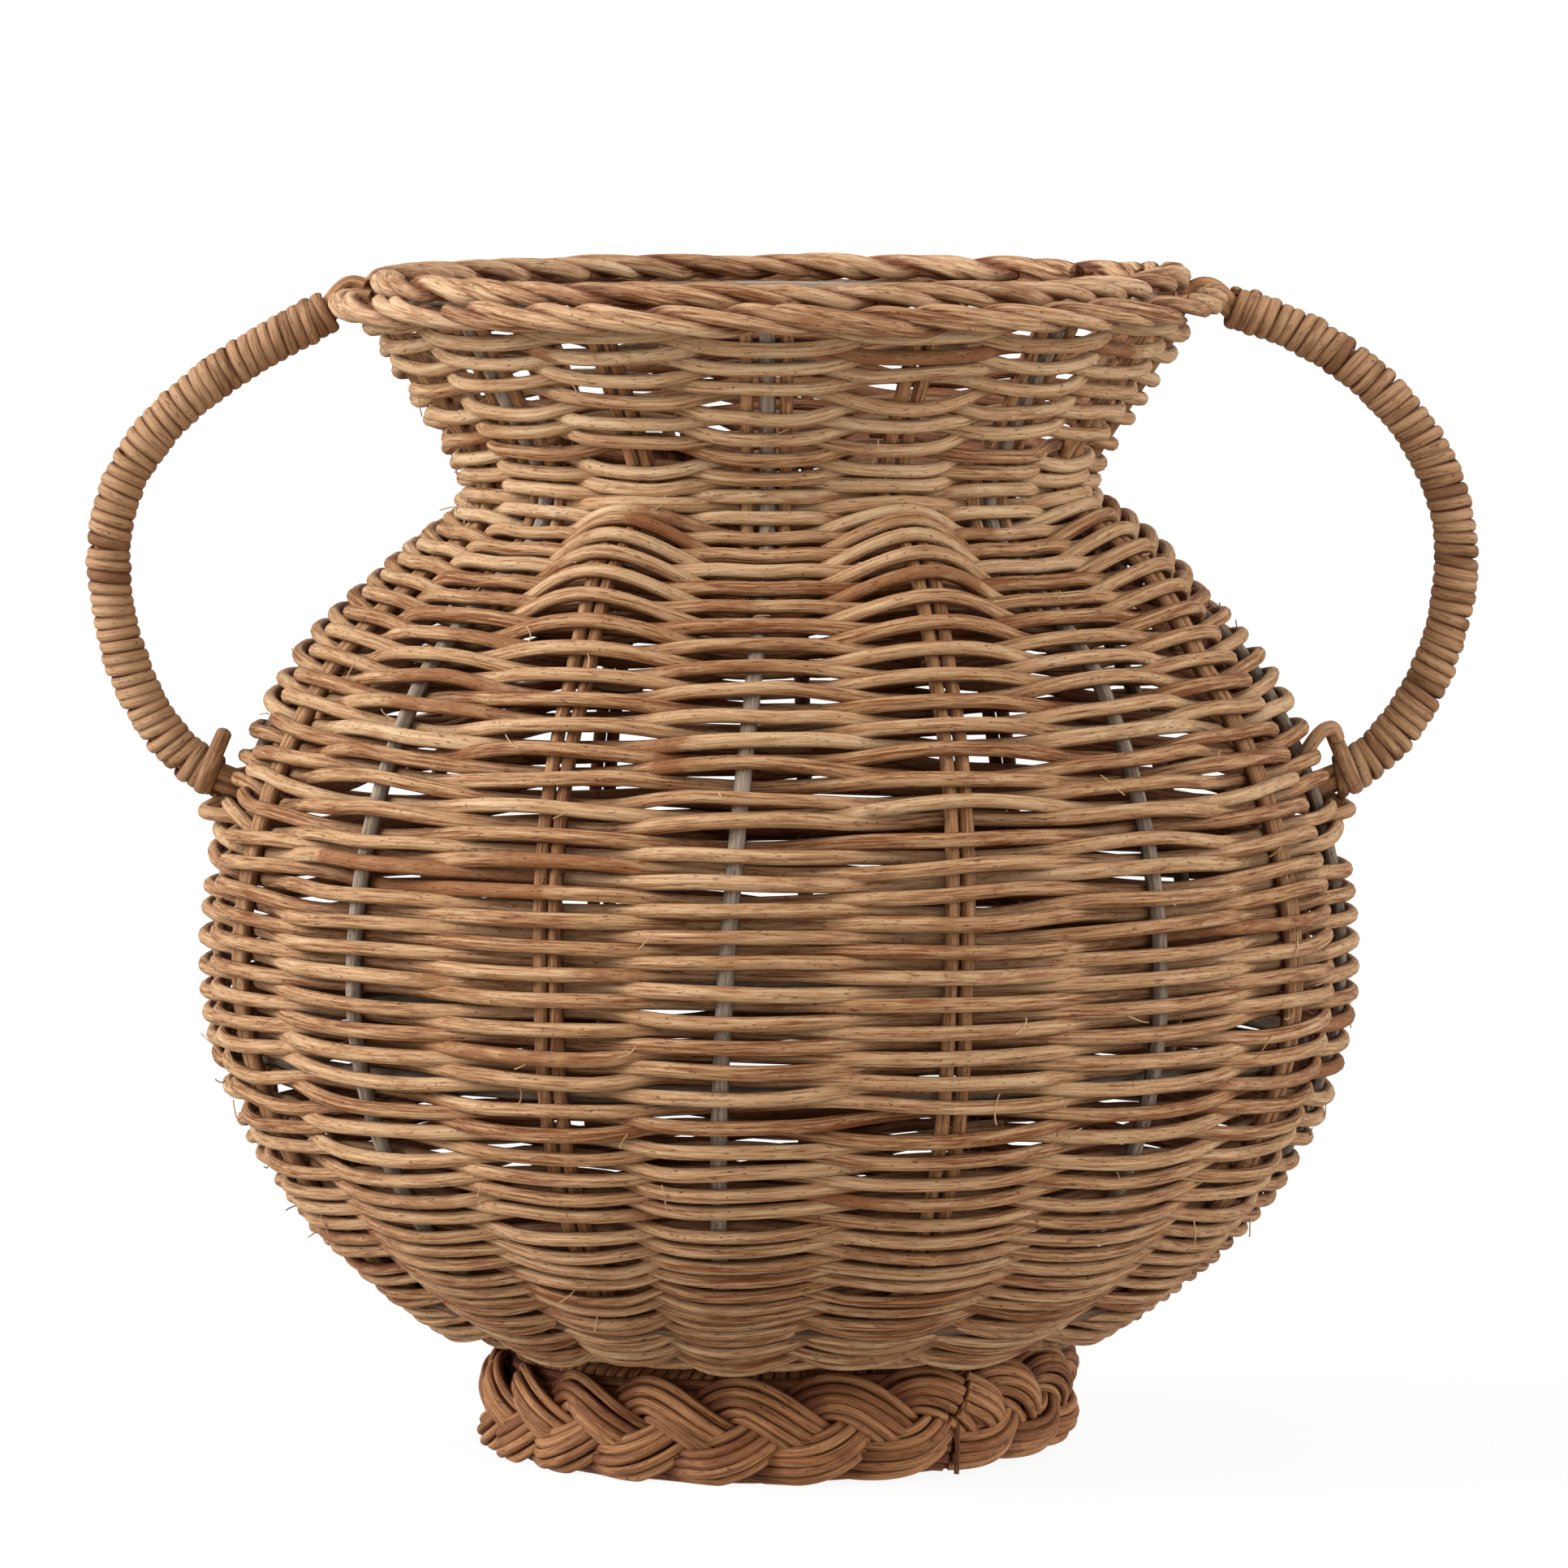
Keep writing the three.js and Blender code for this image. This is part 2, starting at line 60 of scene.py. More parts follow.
# Stakes: single grey rods and pairs of brown stakes by turns, and short canes beside each rod in the neck
PLACES = 16
RODS = PLACES // 2
STAKE_TURN = math.radians(-3)
STAKE_DEPTH = 7.6
STAKE_TOP_DROP = 3
STAKE_STEPS = 110
STAKE_SWAY = 0.35
STAKE_SWAY_LENGTHS = (25, 45)
ROD_DIAMETER = 5.3
STAKE_DIAMETER = 4.5
STAKE_SPACING = 5.4
FLANK_DIAMETER = 4.2
FLANK_SHIFT = 6.2
FLANK_FOOT_HEIGHT = 285
FLANK_FOOT_SPREAD = 8
# Degrees that stakes lean along the wall, from the base up to the rim: by chance, but set at the front
LEAN_HEIGHTS = (36, 66, 160, 260, 366)
LEAN_SPREAD = 0.8
FRONT_LEANS = {
    0: (-5.0, -4.3, -2.3, 0.0, 1.5),
    1: (-8.0, -2.0, -1.7, 0.5, 1.5),
    15: (0.5, 2.2, 2.4, 1.0, 0.0),
    2: (-7.0, -2.0, -1.0, 0.0, 0.5),
    14: (7.0, 2.0, 1.0, 0.0, -0.5),
}
# How far the wall stands out at the pairs and in at the rods, under the neck, and each pair's share of it
SWELL_OUT = 8.0
SWELL_IN = 4.0
SWELL_HEIGHTS = (264, 290, 307, 318)
PAIR_SWELLS = np.array([1.0, 0.7, 0.5, 0.6, 0.6, 0.0, -0.4, 1.0])

# Weave, in rows that pass before the rods and before the pairs by turns: how far apart they lie, by height
ROW_SPACINGS = (
    (36, 2.7), (52, 2.8), (75, 3.5), (113, 4.3), (160, 4.4), (262, 4.6), (284, 4.2), (305, 3.9), (308, 2.25),
    (319, 2.25), (322, 4.1), (366, 4.1),
)
LEAST_SPACING = 0.7
FIRST_ROW = 1.0
LAST_ROW_DROP = 5
ROW_COLUMNS = 180
ROW_STEPS = 190
ROW_WANDER = 0.28
# The lowest rows are twins of thin canes
TWIN_ROWS = 14
TWIN_SPREAD = 1.2
# Diameters of the weavers and how far they swing before and behind the stakes, by height
WEAVER_DIAMETERS = ((36, 3.4), (52, 3.6), (75, 4.3), (113, 4.8), (300, 4.9), (330, 4.7))
WEAVER_SWINGS = ((36, 4.6), (60, 4.7), (90, 4.6), (292, 4.6), (309, 3.8))
WEAVER_GIRTHS = (0.93, 1.06)
GIRTH_WANDER = 0.02
SWING_WANDER = 0.06
LEAST_OUT_RISE = -0.1
# The ends of a row pass each other at its joint, and the later one goes in behind the other
JOINT_LEAD = math.radians(5)
JOINT_OVERLAP = math.radians(7)
JOINT_DEPTH = 5.0
TUCK_LEAD = math.radians(3)
TUCK_LENGTH = math.radians(8)
# Loose places between rows, in bands of height: their number in each band, widths as angles, and sizes
LOOSE_BANDS = ((60, 260), (195, 262), (66, 132), (322, 360))
LOOSE_PLACES = 120
LOOSE_WIDTHS = (0.07, 0.22)
LOOSE_FRONT_SIZES = (0.3, 2.2)
LOOSE_BACK_SIZES = (1.0, 3.2)
LOOSE_ROWS = 2.5
LOOSE_STEEPNESS = 4
# Loose places that show the belly's hoop: turn in degrees, height, width in degrees and size
HOOP_WINDOWS = ((-9, 131, 9, 1.5), (-44, 132, 12, 1.7), (-62, 131, 9, 1.5))
# Stained stretches: from and to in degrees, height and strength
STAINS = (
    (-55, -32, 357, 0.6), (-13, 60, 357, 0.7), (-5, 9, 290, 1.0), (-46, -32, 294, 0.6), (-25, -14, 305, 0.7),
    (-14, -10, 240, 0.8), (-53, -25, 198, 0.6),
)
STAIN_REACH = 2.2
STAIN_FADE = math.radians(2)
# Stains by chance: their mean number on a row, half their length as an angle, and strength
CHANCE_STAINS = 1.3
CHANCE_STAIN_HALVES = (0.03, 0.3)
CHANCE_STAIN_STRENGTHS = (0.15, 0.6)
CHANCE_STAIN_FADE = 0.12
LOOSE_FIBRES = 150
FIBRE_DIAMETER = 0.45
FIBRE_STEPS = 12
FIBRE_FREE_ROWS = 4
FIBRE_TURN_SPREADS = (0.03, 0.02)
FIBRE_RUN_SPREADS = (4, 3)
FIBRE_STANDS = (0.5, 3.5)
FIBRE_TONES = (0.7, 1.0)

# Hoops inside
HOOP_DIAMETER = 6
HOOP_STEPS = 120
BASE_HOOP_DEPTH = 20
BELLY_HOOP_DEPTH = 17
BASE_HOOP_HEIGHT = 54
BELLY_HOOP_HEIGHT = 133
BODY_HOOP_WANDER = 0.5
RIM_HOOP = (120.6, 371.0)
RIM_HOOP_WANDER = 0.4

# Border: two rows of cane ends laid as ropes: radius and height of each rope's middle, and of its lay
LOWER_ROPE = (139.5, 371.5)
UPPER_ROPE = (127.2, 378.0)
LOWER_ROPE_LAY = (3.4, 2.4)
UPPER_ROPE_LAY = (3.5, 2.1)
# Where the ends of the canes lie, as an angle about the rope's middle
LOWER_ROPE_HIDDEN = math.radians(165)
UPPER_ROPE_HIDDEN = math.radians(262)
ROPE_CANES = 40
ROPE_STRANDS = 3
ROPE_STEPS = 46
ROPE_CANE_DIAMETER = 5.4
ROPE_GIRTHS = (0.84, 1.14)
# From this edge on, the sides of a rope cane take painted shade
ROPE_EDGE = 0.6
ROPE_OVERLAP = 0.06
ROPE_START_SPREAD = 0.16
ROPE_ANGLE_SPREAD = 0.12
ROPE_LONG_LAY = 0.42
ROPE_LIFT_SPREAD = 0.07
ROPE_LIFT_WAVE = 0.09
ROPE_LIFT_WAVES = (5, 9)
# What is left of a cane's lift and girth where it goes in, how far that takes, and the painted shade there
ROPE_TUCK = 0.2
ROPE_TUCK_LIFT = 0.3
ROPE_TUCK_GIRTH = 0.75
ROPE_TUCK_SHADE = 0.75
ROPE_STAINS = 0.3
ROPE_STAIN_STRENGTHS = (0.1, 0.5)
ROPE_STAIN_RISE = 1.5
# Some canes start late and are cut off in sight
ROPE_CUTS = 0.12
ROPE_CUT_STARTS = (0.1, 0.28)
ROPE_CUT_RISE = 0.4
# Over the right handle both ropes rise a little, over a width given as an angle
RIGHT_END_RISE = 2.0
RIGHT_END_WIDTH = 0.35

# Foot: a plait of ribbons of canes, tilted up to the right
PLAIT_RADIUS = 93.0
PLAIT_DEPTH = 3.4
PLAIT_MIDDLE = 17.2
PLAIT_TILT = 3.0
PLAIT_SWING = 9.9
PLAIT_WAVES = 19 / 3
PLAIT_PHASE = 0.5 / 12
PLAIT_POINT = 0.14
PLAIT_DROP = 0.1
PLAIT_STRANDS = 3
PLAIT_STEPS = 480
PLAIT_CANES = 5
PLAIT_CANE_DIAMETER = 3.5
PLAIT_CANE_SPACING = 3.1
PLAIT_ARCH = 0.085
PLAIT_GIRTHS = (0.92, 1.08)
PLAIT_SHIFT_SPREAD = 0.1
PLAIT_SWAY = 0.22
PLAIT_SWAY_LENGTHS = (0.5, 1.2)
PLAIT_STAINS = 0.3
PLAIT_STAIN_STRENGTHS = (0.2, 0.6)
# Painted shade where a ribbon passes under the others, and the edge from which the sides of its canes take
# painted shade
PLAIT_SHADE = 0.75
PLAIT_EDGE = 0.6
SEAM_TURN = math.radians(37)
SEAM_GAPS = (0.012, 0.004)
# The ribbon that is folded over beside the seam, with its start and length as angles
FOLD_STEPS = 26
FOLD_START = 0.022
FOLD_LENGTH = 0.2
FOLD_PROUD = 3.4
FOLD_BULGE = 1.4
FOLD_TUCK = 5
FOLD_HEIGHT = 27
FOLD_DROP = 9
FOLD_DIP = 3
FOLD_SWAY = 0.3
# Canes behind the ribbons
TUCKED_RADIUS = 86.0
TUCKED_HEIGHTS = range(2, 34, 3)
TUCKED_DIAMETER = 3.4
# Painted shade all over them
TUCKED_SHADE = 0.7
# Tie in the seam
TIE_DIAMETER = 1.7
TIE_HEIGHTS = (1.5, 32.0)
TIE_STEPS = 24
TIE_TURN = 0.004
TIE_TURN_WANDER = 0.003
TIE_TURN_LENGTH = 6
TIE_PROUD = 0.6
TIE_PROUD_WANDER = 0.4
TIE_PROUD_LENGTH = 9
# Painted shade all over the tie
TIE_SHADE = 0.5
# Wrapped ring behind the plait
FOOT_RING = (80.4, 30.1)
FOOT_RING_CORE = 7.4
FOOT_RING_LOOPS = 118
FOOT_RING_LOOP_STEPS = 10
FOOT_RING_WRAP_WIDTH = 4.0
FOOT_RING_WRAP_THICKNESS = 1.9

# Floor: a long weaver in a spiral, over and under spokes
FLOOR_HEIGHT = 39.7
FLOOR_EYE_RADIUS = 12
FLOOR_RADIUS = 103.5
FLOOR_RISE_RADIUS = 84
FLOOR_RISE_WIDTH = 20
FLOOR_EDGE_RISE = 2.2
FLOOR_SPACING = 3.72
FLOOR_CANE = 3.6
FLOOR_SWING = 2.1
FLOOR_FULL_SWING_RADIUS = 50
FLOOR_LEAST_SWING = 0.2
FLOOR_TURN_STEPS = 96
SPOKES = 17
SPOKE_DIAMETER = 3.2
SPOKE_START_RADIUS = 6
SPOKE_OVERHANG = 2
SPOKE_STEPS = 30

# Handles, in the plane through the axis: they leave the lower rope, bend outside and end at the shoulder
HANDLE_FLIPS = {"right": np.array([1, 1, 1]), "left": np.array([-1, -1, 1])}
HANDLE_SLOPES = {"right": math.radians(13), "left": math.radians(27)}
HANDLE_REACH = {"right": 219.0, "left": 216.4}
HANDLE_START = 6.55
HANDLE_TOP_SWEEP = 38
HANDLE_UPPER_SWEEP = 330.0
HANDLE_BEND = 289.0
HANDLE_LOWER_SWEEP = 262.0
HANDLE_SEAT_SWEEP = (203.8, 226.1)
HANDLE_SEAT = (179.2, 217.5)
HANDLE_AHEAD = 0.004
HANDLE_CURVE_STEPS = 300
# Canes inside a handle, which go on into the rope and into the wall
CORE_CANES = 4
CORE_CANE_DIAMETER = 4.6
CORE_RADIUS = 2.5
CORE_TWIST = 1.2
CORE_STEPS = 70
ROPE_TAIL = 15
ROPE_TAIL_GAP = 0.5
ROPE_TAIL_STEPS = 14
ROPE_TAIL_BOW = np.array([0, -1.5, 4.0])
SEAT_TAIL = 11
SEAT_TAIL_STEPS = 8
# Winding of a few long canes, and its bindings, between shares of the handle's length
WRAP_RADIUS = 5.95
WRAP_THICKNESS = 2.7
WRAP_WIDTH = 4.2
WRAP_PITCH = 3.75
WRAP_SPAN = (0.03, 0.935)
WRAP_JOINS = 4
WRAP_LEAST_LOOPS = 6
WRAP_LOOP_STEPS = 18
WRAP_LEAN = 0.4
WRAP_SWELL = 0.2
WRAP_SLIP = 0.22
# From this edge on, the sides of a loop take painted shade, which darkens the grooves between loops
WRAP_EDGE = 0.92
WRAP_STAIN = 0.6
WRAP_STAIN_CHANCES = (-3, 1.2)
TOP_BINDING_SPAN = (0.0, 0.036)
TOP_BINDING_LOOPS = 2.3
TOP_BINDING_SLANT = 0.5
TOP_BINDING_DEPTH = 0.3
SEAT_BINDING_SPAN = (0.935, 0.99)
SEAT_BINDING_LOOPS = 3
SEAT_BINDING_SLANT = 0.6
# Cane slung round the end of the handle, between a high and a low point
SEAT_LOOP = ((179.4, 232.2), (187.0, 214.4))
SEAT_LOOP_HALF_WIDTH = 8.2
SEAT_LOOP_DIAMETER = 5.2
SEAT_LOOP_FLATNESS = 0.7
SEAT_LOOP_STEPS = 40
SEAT_LOOP_FACING = 1.6
SEAT_LOOP_STAIN = 0.35
# Ends of the seat's binding that go into the weave: points, diameter and tone
SEAT_ENDS = {
    "right": (
        (((180.5, -7, 231), (179.2, -9, 235.2), (174.5, -11, 234), (165, -11, 219)), 4.8, 0.5),
        (((168, -18, 205), (184, -9, 207.5), (185.5, 0, 208), (172, 8, 214)), 4.4, 0.5),
    ),
    "left": (
        (((166, 20, 206), (184.5, 9, 207), (186.5, 1, 207.5), (172, -8, 214)), 4.6, 0.55),
    ),
}
BENT_STEPS = 28
BENT_ROUNDS = 12

# Canes: how they are drawn, and where painted shade lies on them: behind others, and on their sides, a
# little less on the inside
CUT_END = 0.05
CANE_ROUNDNESS = 3
FIBRE_ROUNDNESS = 1
SMOOTH_ANGLE = math.radians(62)
GRAIN_SHIFT = 40
DEEP_EDGE = 0.1
SHADE_EDGE = 0.25
SHADE_FADE = 0.75
INNER_EDGE = -0.3
INNER_FADE = 0.5
INNER_SHADE_EASING = 0.25

# Finishes: dark, middle and light cane and its stains, as they show on screen, then roughness and streaks
CANE_LOOKS = {
    "weaver": ((114, 64, 28), (173, 135, 97), (199, 170, 134), (126, 76, 40), 0.66, 1.0),
    "border": ((112, 64, 30), (182, 144, 107), (212, 182, 148), (128, 80, 46), 0.64, 1.0),
    "winding": ((104, 64, 34), (168, 130, 95), (191, 157, 122), (112, 72, 42), 0.66, 0.7),
    "stake": ((100, 60, 34), (160, 116, 78), (186, 144, 104), (108, 66, 38), 0.68, 1.0),
    "plait": ((88, 46, 20), (145, 99, 62), (172, 127, 88), (104, 60, 32), 0.66, 1.0),
    "rod": ((88, 74, 62), (130, 115, 101), (162, 147, 131), (100, 80, 62), 0.74, 1.0),
    "base_ring": ((66, 46, 32), (100, 74, 54), (124, 96, 74), (70, 46, 30), 0.74, 1.0),
}
# Colour that multiplies a cane where shade is painted on it
PAINTED_SHADE_COLOR = (146, 90, 46)
FIBRE_BUMP = 0.7

# Ground, light and camera, in metres
GROUND_SIZE = 160
GROUND_COLOR = (0.09, 0.09, 0.09, 1)
GROUND_GLOW = 0.92
LAMP_DISTANCE = 3
ROOM_COLOR = (1, 0.93, 0.85, 1)
ROOM_LIGHT = 0.7
CAMERA_AT = Vector((0.0018, -3.6, 0.5168))
CAMERA_AIM = Vector((0.0018, 0, 0.2158))
CAMERA_SENSOR = 36
CAMERA_LENS = 256.3


class Value:
    """A node's output in a finish. Sums, differences and products of values become Math nodes."""

    def __init__(self, finish, socket):
        self.finish = finish
        self.socket = socket

    def math(self, operation, first, second):
        return self.finish.node("ShaderNodeMath", {"operation": operation}, {0: first, 1: second})

    def __add__(self, other):
        return self.math("ADD", self, other)

    def __sub__(self, other):
        return self.math("SUBTRACT", self, other)

    def __rsub__(self, other):
        return self.math("SUBTRACT", other, self)

    def __mul__(self, other):
        return self.math("MULTIPLY", self, other)

    __radd__ = __add__
    __rmul__ = __mul__


class Finish:
    """A material, and the one method that adds any node to it."""

    def __init__(self, name):
        self.material = bpy.data.materials.new(name)
        self.material.use_nodes = True
        self.nodes = self.material.node_tree.nodes
        self.links = self.material.node_tree.links
        self.shader = self.nodes["Principled BSDF"]

    def feed(self, node, inputs):
        for socket, value in inputs.items():
            if isinstance(value, Value):
                self.links.new(value.socket, node.inputs[socket])
            else:
                node.inputs[socket].default_value = value

    def node(self, kind, settings, inputs, output=0):
        node = self.nodes.new(kind)
        for setting, value in settings.items():
            if setting == "stops":
                while len(node.color_ramp.elements) < len(value):
                    node.color_ramp.elements.new(0.5)
                for element, (position, color) in zip(node.color_ramp.elements, value):
                    element.position = position
                    element.color = color
            else:
                setattr(node, setting, value)
        self.feed(node, inputs)
        return Value(self, node.outputs[output])


def linear(shown):
    """A colour given as it shows on screen, 0 to 255, made linear."""
    shares = [channel / 255 for channel in shown]
    return (*[c / 12.92 if c <= 0.04045 else ((c + 0.055) / 1.055) ** 2.4 for c in shares], 1.0)


def cane_finish(name, dark, middle, light, stain, roughness, streaked):
    """Cane with fibres along it, a tone of its own, stains, dark specks and painted shade in its creases."""
    dark, middle, light, stain = (linear(shown) for shown in (dark, middle, light, stain))
    finish = Finish(name)
    grain = finish.node("ShaderNodeAttribute", {"attribute_name": "grain"}, {}, "Vector")
    tone = finish.node("ShaderNodeAttribute", {"attribute_name": "tone"}, {}, "Fac")
    stained = finish.node("ShaderNodeAttribute", {"attribute_name": "stain"}, {}, "Fac")
    crease = finish.node("ShaderNodeAttribute", {"attribute_name": "crease"}, {}, "Fac")

    def streaks(along, around, detail):
        """Noise with this many marks to a metre along the cane and around it."""
        stretched = finish.node(
            "ShaderNodeVectorMath", {"operation": "MULTIPLY"},
            {0: grain, 1: (along, around, around)}, "Vector")
        return finish.node(
            "ShaderNodeTexNoise", {},
            {"Vector": stretched, "Scale": 1.0, "Detail": detail, "Roughness": 0.6})

    def mask(value, low, high):
        return finish.node(
            "ShaderNodeMapRange", {"interpolation_type": "SMOOTHSTEP"},
            {"Value": value, "From Min": low, "From Max": high})

    def mix(factor, first, second, blend="MIX"):
        return finish.node(
            "ShaderNodeMix", {"data_type": "RGBA", "blend_type": blend}, {0: factor, 6: first, 7: second}, 2)

    fibres = streaks(along=40, around=850, detail=3)
    threads = streaks(along=120, around=2100, detail=2)
    stretches = streaks(along=14, around=110, detail=3)
    blotches = streaks(along=120, around=420, detail=3)
    scratches = streaks(along=280, around=1500, detail=1)
    specks = streaks(along=520, around=700, detail=1)
    shade = tone * 0.55 + (fibres * 2.0 + stretches * 0.6 + threads * 1.2 - 1.9) * streaked + 0.22
    body = finish.node(
        "ShaderNodeValToRGB", {"stops": [(0.0, dark), (0.5, middle), (1.0, light)]}, {0: shade}, "Color")
    patch = mask(stretches + tone * 0.1, 0.6, 0.74) * mask(blotches, 0.42, 0.6)
    marked = mask(stained * 0.8 + blotches * 0.9 + fibres * 0.9, 1.02, 1.42) * mask(stained, 0.02, 0.2)
    body = mix(patch * 0.6, body, stain)
    body = mix(marked * 0.85, body, stain)
    body = mix(mask(scratches, 0.65, 0.73) * 0.6, body, dark, "MULTIPLY")
    body = mix(mask(specks, 0.7, 0.75) * 0.6, body, dark, "MULTIPLY")
    # Painted shade: darker in creases, in recesses and on the sides of canes turned away
    body = mix(crease, body, linear(PAINTED_SHADE_COLOR), "MULTIPLY")
    height = fibres * 0.8 + threads * 0.4 - patch * 0.1 - mask(scratches, 0.64, 0.72) * 0.2
    bump = finish.node(
        "ShaderNodeBump", {}, {"Strength": 1.0, "Distance": FIBRE_BUMP * MM, "Height": height})
    finish.feed(finish.shader, {
        "Base Color": body,
        "Roughness": fibres * 0.3 + (roughness - 0.15),
        "Specular IOR Level": 0.25,
        "Normal": bump,
    })
    return finish.material


finishes = {name: cane_finish(name, *look) for name, look in CANE_LOOKS.items()}


def place(radius, turn, height):
    """Points at turns about the axis, counted from the front towards +X."""
    radius, turn, height = np.broadcast_arrays(radius, turn, height)
    return np.stack([radius * np.sin(turn), -radius * np.cos(turn), height], axis=-1)


def full_turn(steps):
    return np.linspace(0, TURN, steps, endpoint=False)


def apart(turn, other):
    """How far one turn lies from another, the shorter way round."""
    return (turn - other + math.pi) % TURN - math.pi


def unit(vectors):
    return vectors / np.linalg.norm(vectors, axis=-1, keepdims=True)


def length_along(points):
    """The length of a line up to each of its points."""
    return np.concatenate([[0], np.cumsum(np.linalg.norm(np.diff(points, axis=0), axis=1))])


def smooth(share):
    """Eases from 0 to 1, and stays there outside."""
    share = np.clip(share, 0, 1)
    return share * share * (3 - 2 * share)


def cane(points, diameter, tone, closed=False, flat=1.0, out=None, deep=0.0, stain=0.0, edge=SHADE_EDGE):
    """A cane along points, with cut ends. Out is where it faces outwards, and where it is thin when flat.
    Painted shade lies on it where it is deep, and on its sides from an edge on."""
    points = np.asarray(points, dtype=float)
    count = len(points)
    each = {
        "points": points,
        "radius": np.broadcast_to(np.asarray(diameter, dtype=float) / 2, count),
        "out": np.zeros((count, 3)) if out is None else np.broadcast_to(out, (count, 3)),
        "deep": np.broadcast_to(np.asarray(deep, dtype=float), count),
        "stain": np.broadcast_to(np.asarray(stain, dtype=float), count),
    }
    if not closed:
        each = {key: np.concatenate([values[:1], values, values[-1:]]) for key, values in each.items()}
        each["points"][0] += CUT_END * unit(points[0] - points[1])
        each["points"][-1] += CUT_END * unit(points[-1] - points[-2])
        each["radius"][[0, -1]] = CUT_END
    each.update(tone=tone, closed=closed, flat=flat, edge=edge, creased=out is not None)
    return each


def tones(spread=0.5, middle=0.5):
    """A random tone for one cane."""
    return float(np.clip(rng.normal(middle, spread * 0.4), 0, 1))


def drawn(name, canes, roundness):
    """Canes as curves with a round bevel, made one mesh."""
    bpy.ops.object.select_all(action="DESELECT")
    bpy.ops.curve.primitive_nurbs_path_add()
    piece = bpy.context.object
    piece.name = name
    drawing = piece.data
    drawing.splines.clear()
    drawing.dimensions = "3D"
    drawing.bevel_mode = "ROUND"
    drawing.bevel_depth = 1.0
    drawing.bevel_resolution = roundness
    for each in canes:
        spline = drawing.splines.new("POLY")
        count = len(each["points"])
        spline.points.add(count - 1)
        spline.points.foreach_set("co", np.column_stack([each["points"] * MM, np.ones(count)]).ravel())
        spline.points.foreach_set("radius", each["radius"] * MM)
        spline.use_cyclic_u = each["closed"]
    bpy.ops.object.convert(target="MESH")
    piece.data.name = name
    return piece


def lay(name, canes, finish, nodes=(), roundness=CANE_ROUNDNESS):
    """A piece of canes: drawn, flattened, marked for its finish, closed at its cut ends and dressed."""
    piece = drawn(name, canes, roundness)
    mesh = piece.data
    points = np.concatenate([each["points"] for each in canes]) * MM
    sides = len(mesh.vertices) // len(points)
    rings = np.empty(len(mesh.vertices) * 3)
    mesh.vertices.foreach_get("co", rings)
    rings = rings.reshape(len(points), sides, 3)
    grain = np.empty_like(rings)
    tone = np.empty((len(points), sides))
    stain = np.empty_like(tone)
    crease = np.empty_like(tone)
    around = full_turn(sides)
    first = 0
    for each in canes:
        last = first + len(each["points"])
        offset = rings[first:last] - points[first:last, None]
        out = each["out"][:, None]
        height = (offset * out).sum(axis=-1, keepdims=True)
        rings[first:last] += (each["flat"] - 1) * height * out
        facing = height[..., 0] / np.linalg.norm(offset, axis=-1)
        # Painted shade on the sides turned away from out, a little less on the inner side, and where the
        # cane is deep
        hidden = np.zeros_like(facing)
        if each["creased"]:
            hidden = smooth((each["edge"] - facing) / SHADE_FADE)
            hidden *= 1 - INNER_SHADE_EASING * smooth((INNER_EDGE - facing) / INNER_FADE)
        crease[first:last] = 1 - (1 - hidden) * (1 - each["deep"][:, None])
        along = length_along(points[first:last]) + rng.uniform(0, GRAIN_SHIFT)
        radius = each["radius"].max() * MM
        grain[first:last, :, 0] = along[:, None]
        grain[first:last, :, 1] = radius * np.cos(around) + rng.uniform(0, 1)
        grain[first:last, :, 2] = radius * np.sin(around) + rng.uniform(0, 1)
        tone[first:last] = each["tone"]
        stain[first:last] = each["stain"][:, None]
        first = last
    mesh.vertices.foreach_set("co", rings.ravel())
    mesh.attributes.new("grain", "FLOAT_VECTOR", "POINT").data.foreach_set("vector", grain.ravel())
    for key, values in (("tone", tone), ("stain", stain), ("crease", crease)):
        mesh.attributes.new(key, "FLOAT", "POINT").data.foreach_set("value", values.ravel())
    mesh.update()
    bpy.ops.object.mode_set(mode="EDIT")
    bpy.ops.mesh.select_all(action="SELECT")
    bpy.ops.mesh.fill_holes(sides=sides)
    bpy.ops.object.mode_set(mode="OBJECT")
    bpy.ops.object.shade_smooth_by_angle(angle=SMOOTH_ANGLE)
    mesh.materials.clear()
    mesh.materials.append(finishes[finish])
    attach(piece, "root")
    if nodes:
        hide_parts(*nodes)


# Wall, from the base up to the rim

def body_outline():
    """Radius and height along the outside: the round body, a bend at the neck and a straight flare."""
    def ellipse(low, high, rise):
        angle = np.linspace(low, high, BODY_STEPS)
        return np.stack([BELLY_RADIUS * np.cos(angle), BELLY_HEIGHT + rise * np.sin(angle)], axis=1)

    base_angle = math.acos(BASE_RADIUS / BELLY_RADIUS)
    neck_angle = math.acos(NECK_RADIUS / BELLY_RADIUS)
    lower = ellipse(-base_angle, 0, (BELLY_HEIGHT - BASE_HEIGHT) / math.sin(base_angle))
    upper = ellipse(0, neck_angle, (NECK_HEIGHT - BELLY_HEIGHT) / math.sin(neck_angle))
    neck = np.array([NECK_RADIUS, NECK_HEIGHT])
    rim = np.array([RIM_RADIUS, RIM_HEIGHT])
    upper = upper[np.linalg.norm(upper - neck, axis=1) > NECK_BEND]
    share = np.linspace(0, 1, NECK_BEND_STEPS)[1:, None]
    flare = neck + NECK_BEND * unit(rim - neck)
    bend = (1 - share) ** 2 * upper[-1] + 2 * share * (1 - share) * neck + share ** 2 * flare
    return np.concatenate([lower[:-1], upper, bend, rim[None]])


def eased(values):
    """A run of values, each the mean of those around it."""
    window = 2 * OUTLINE_EASE + 1
    return np.convolve(np.pad(values, OUTLINE_EASE, "edge"), np.ones(window) / window, "valid")


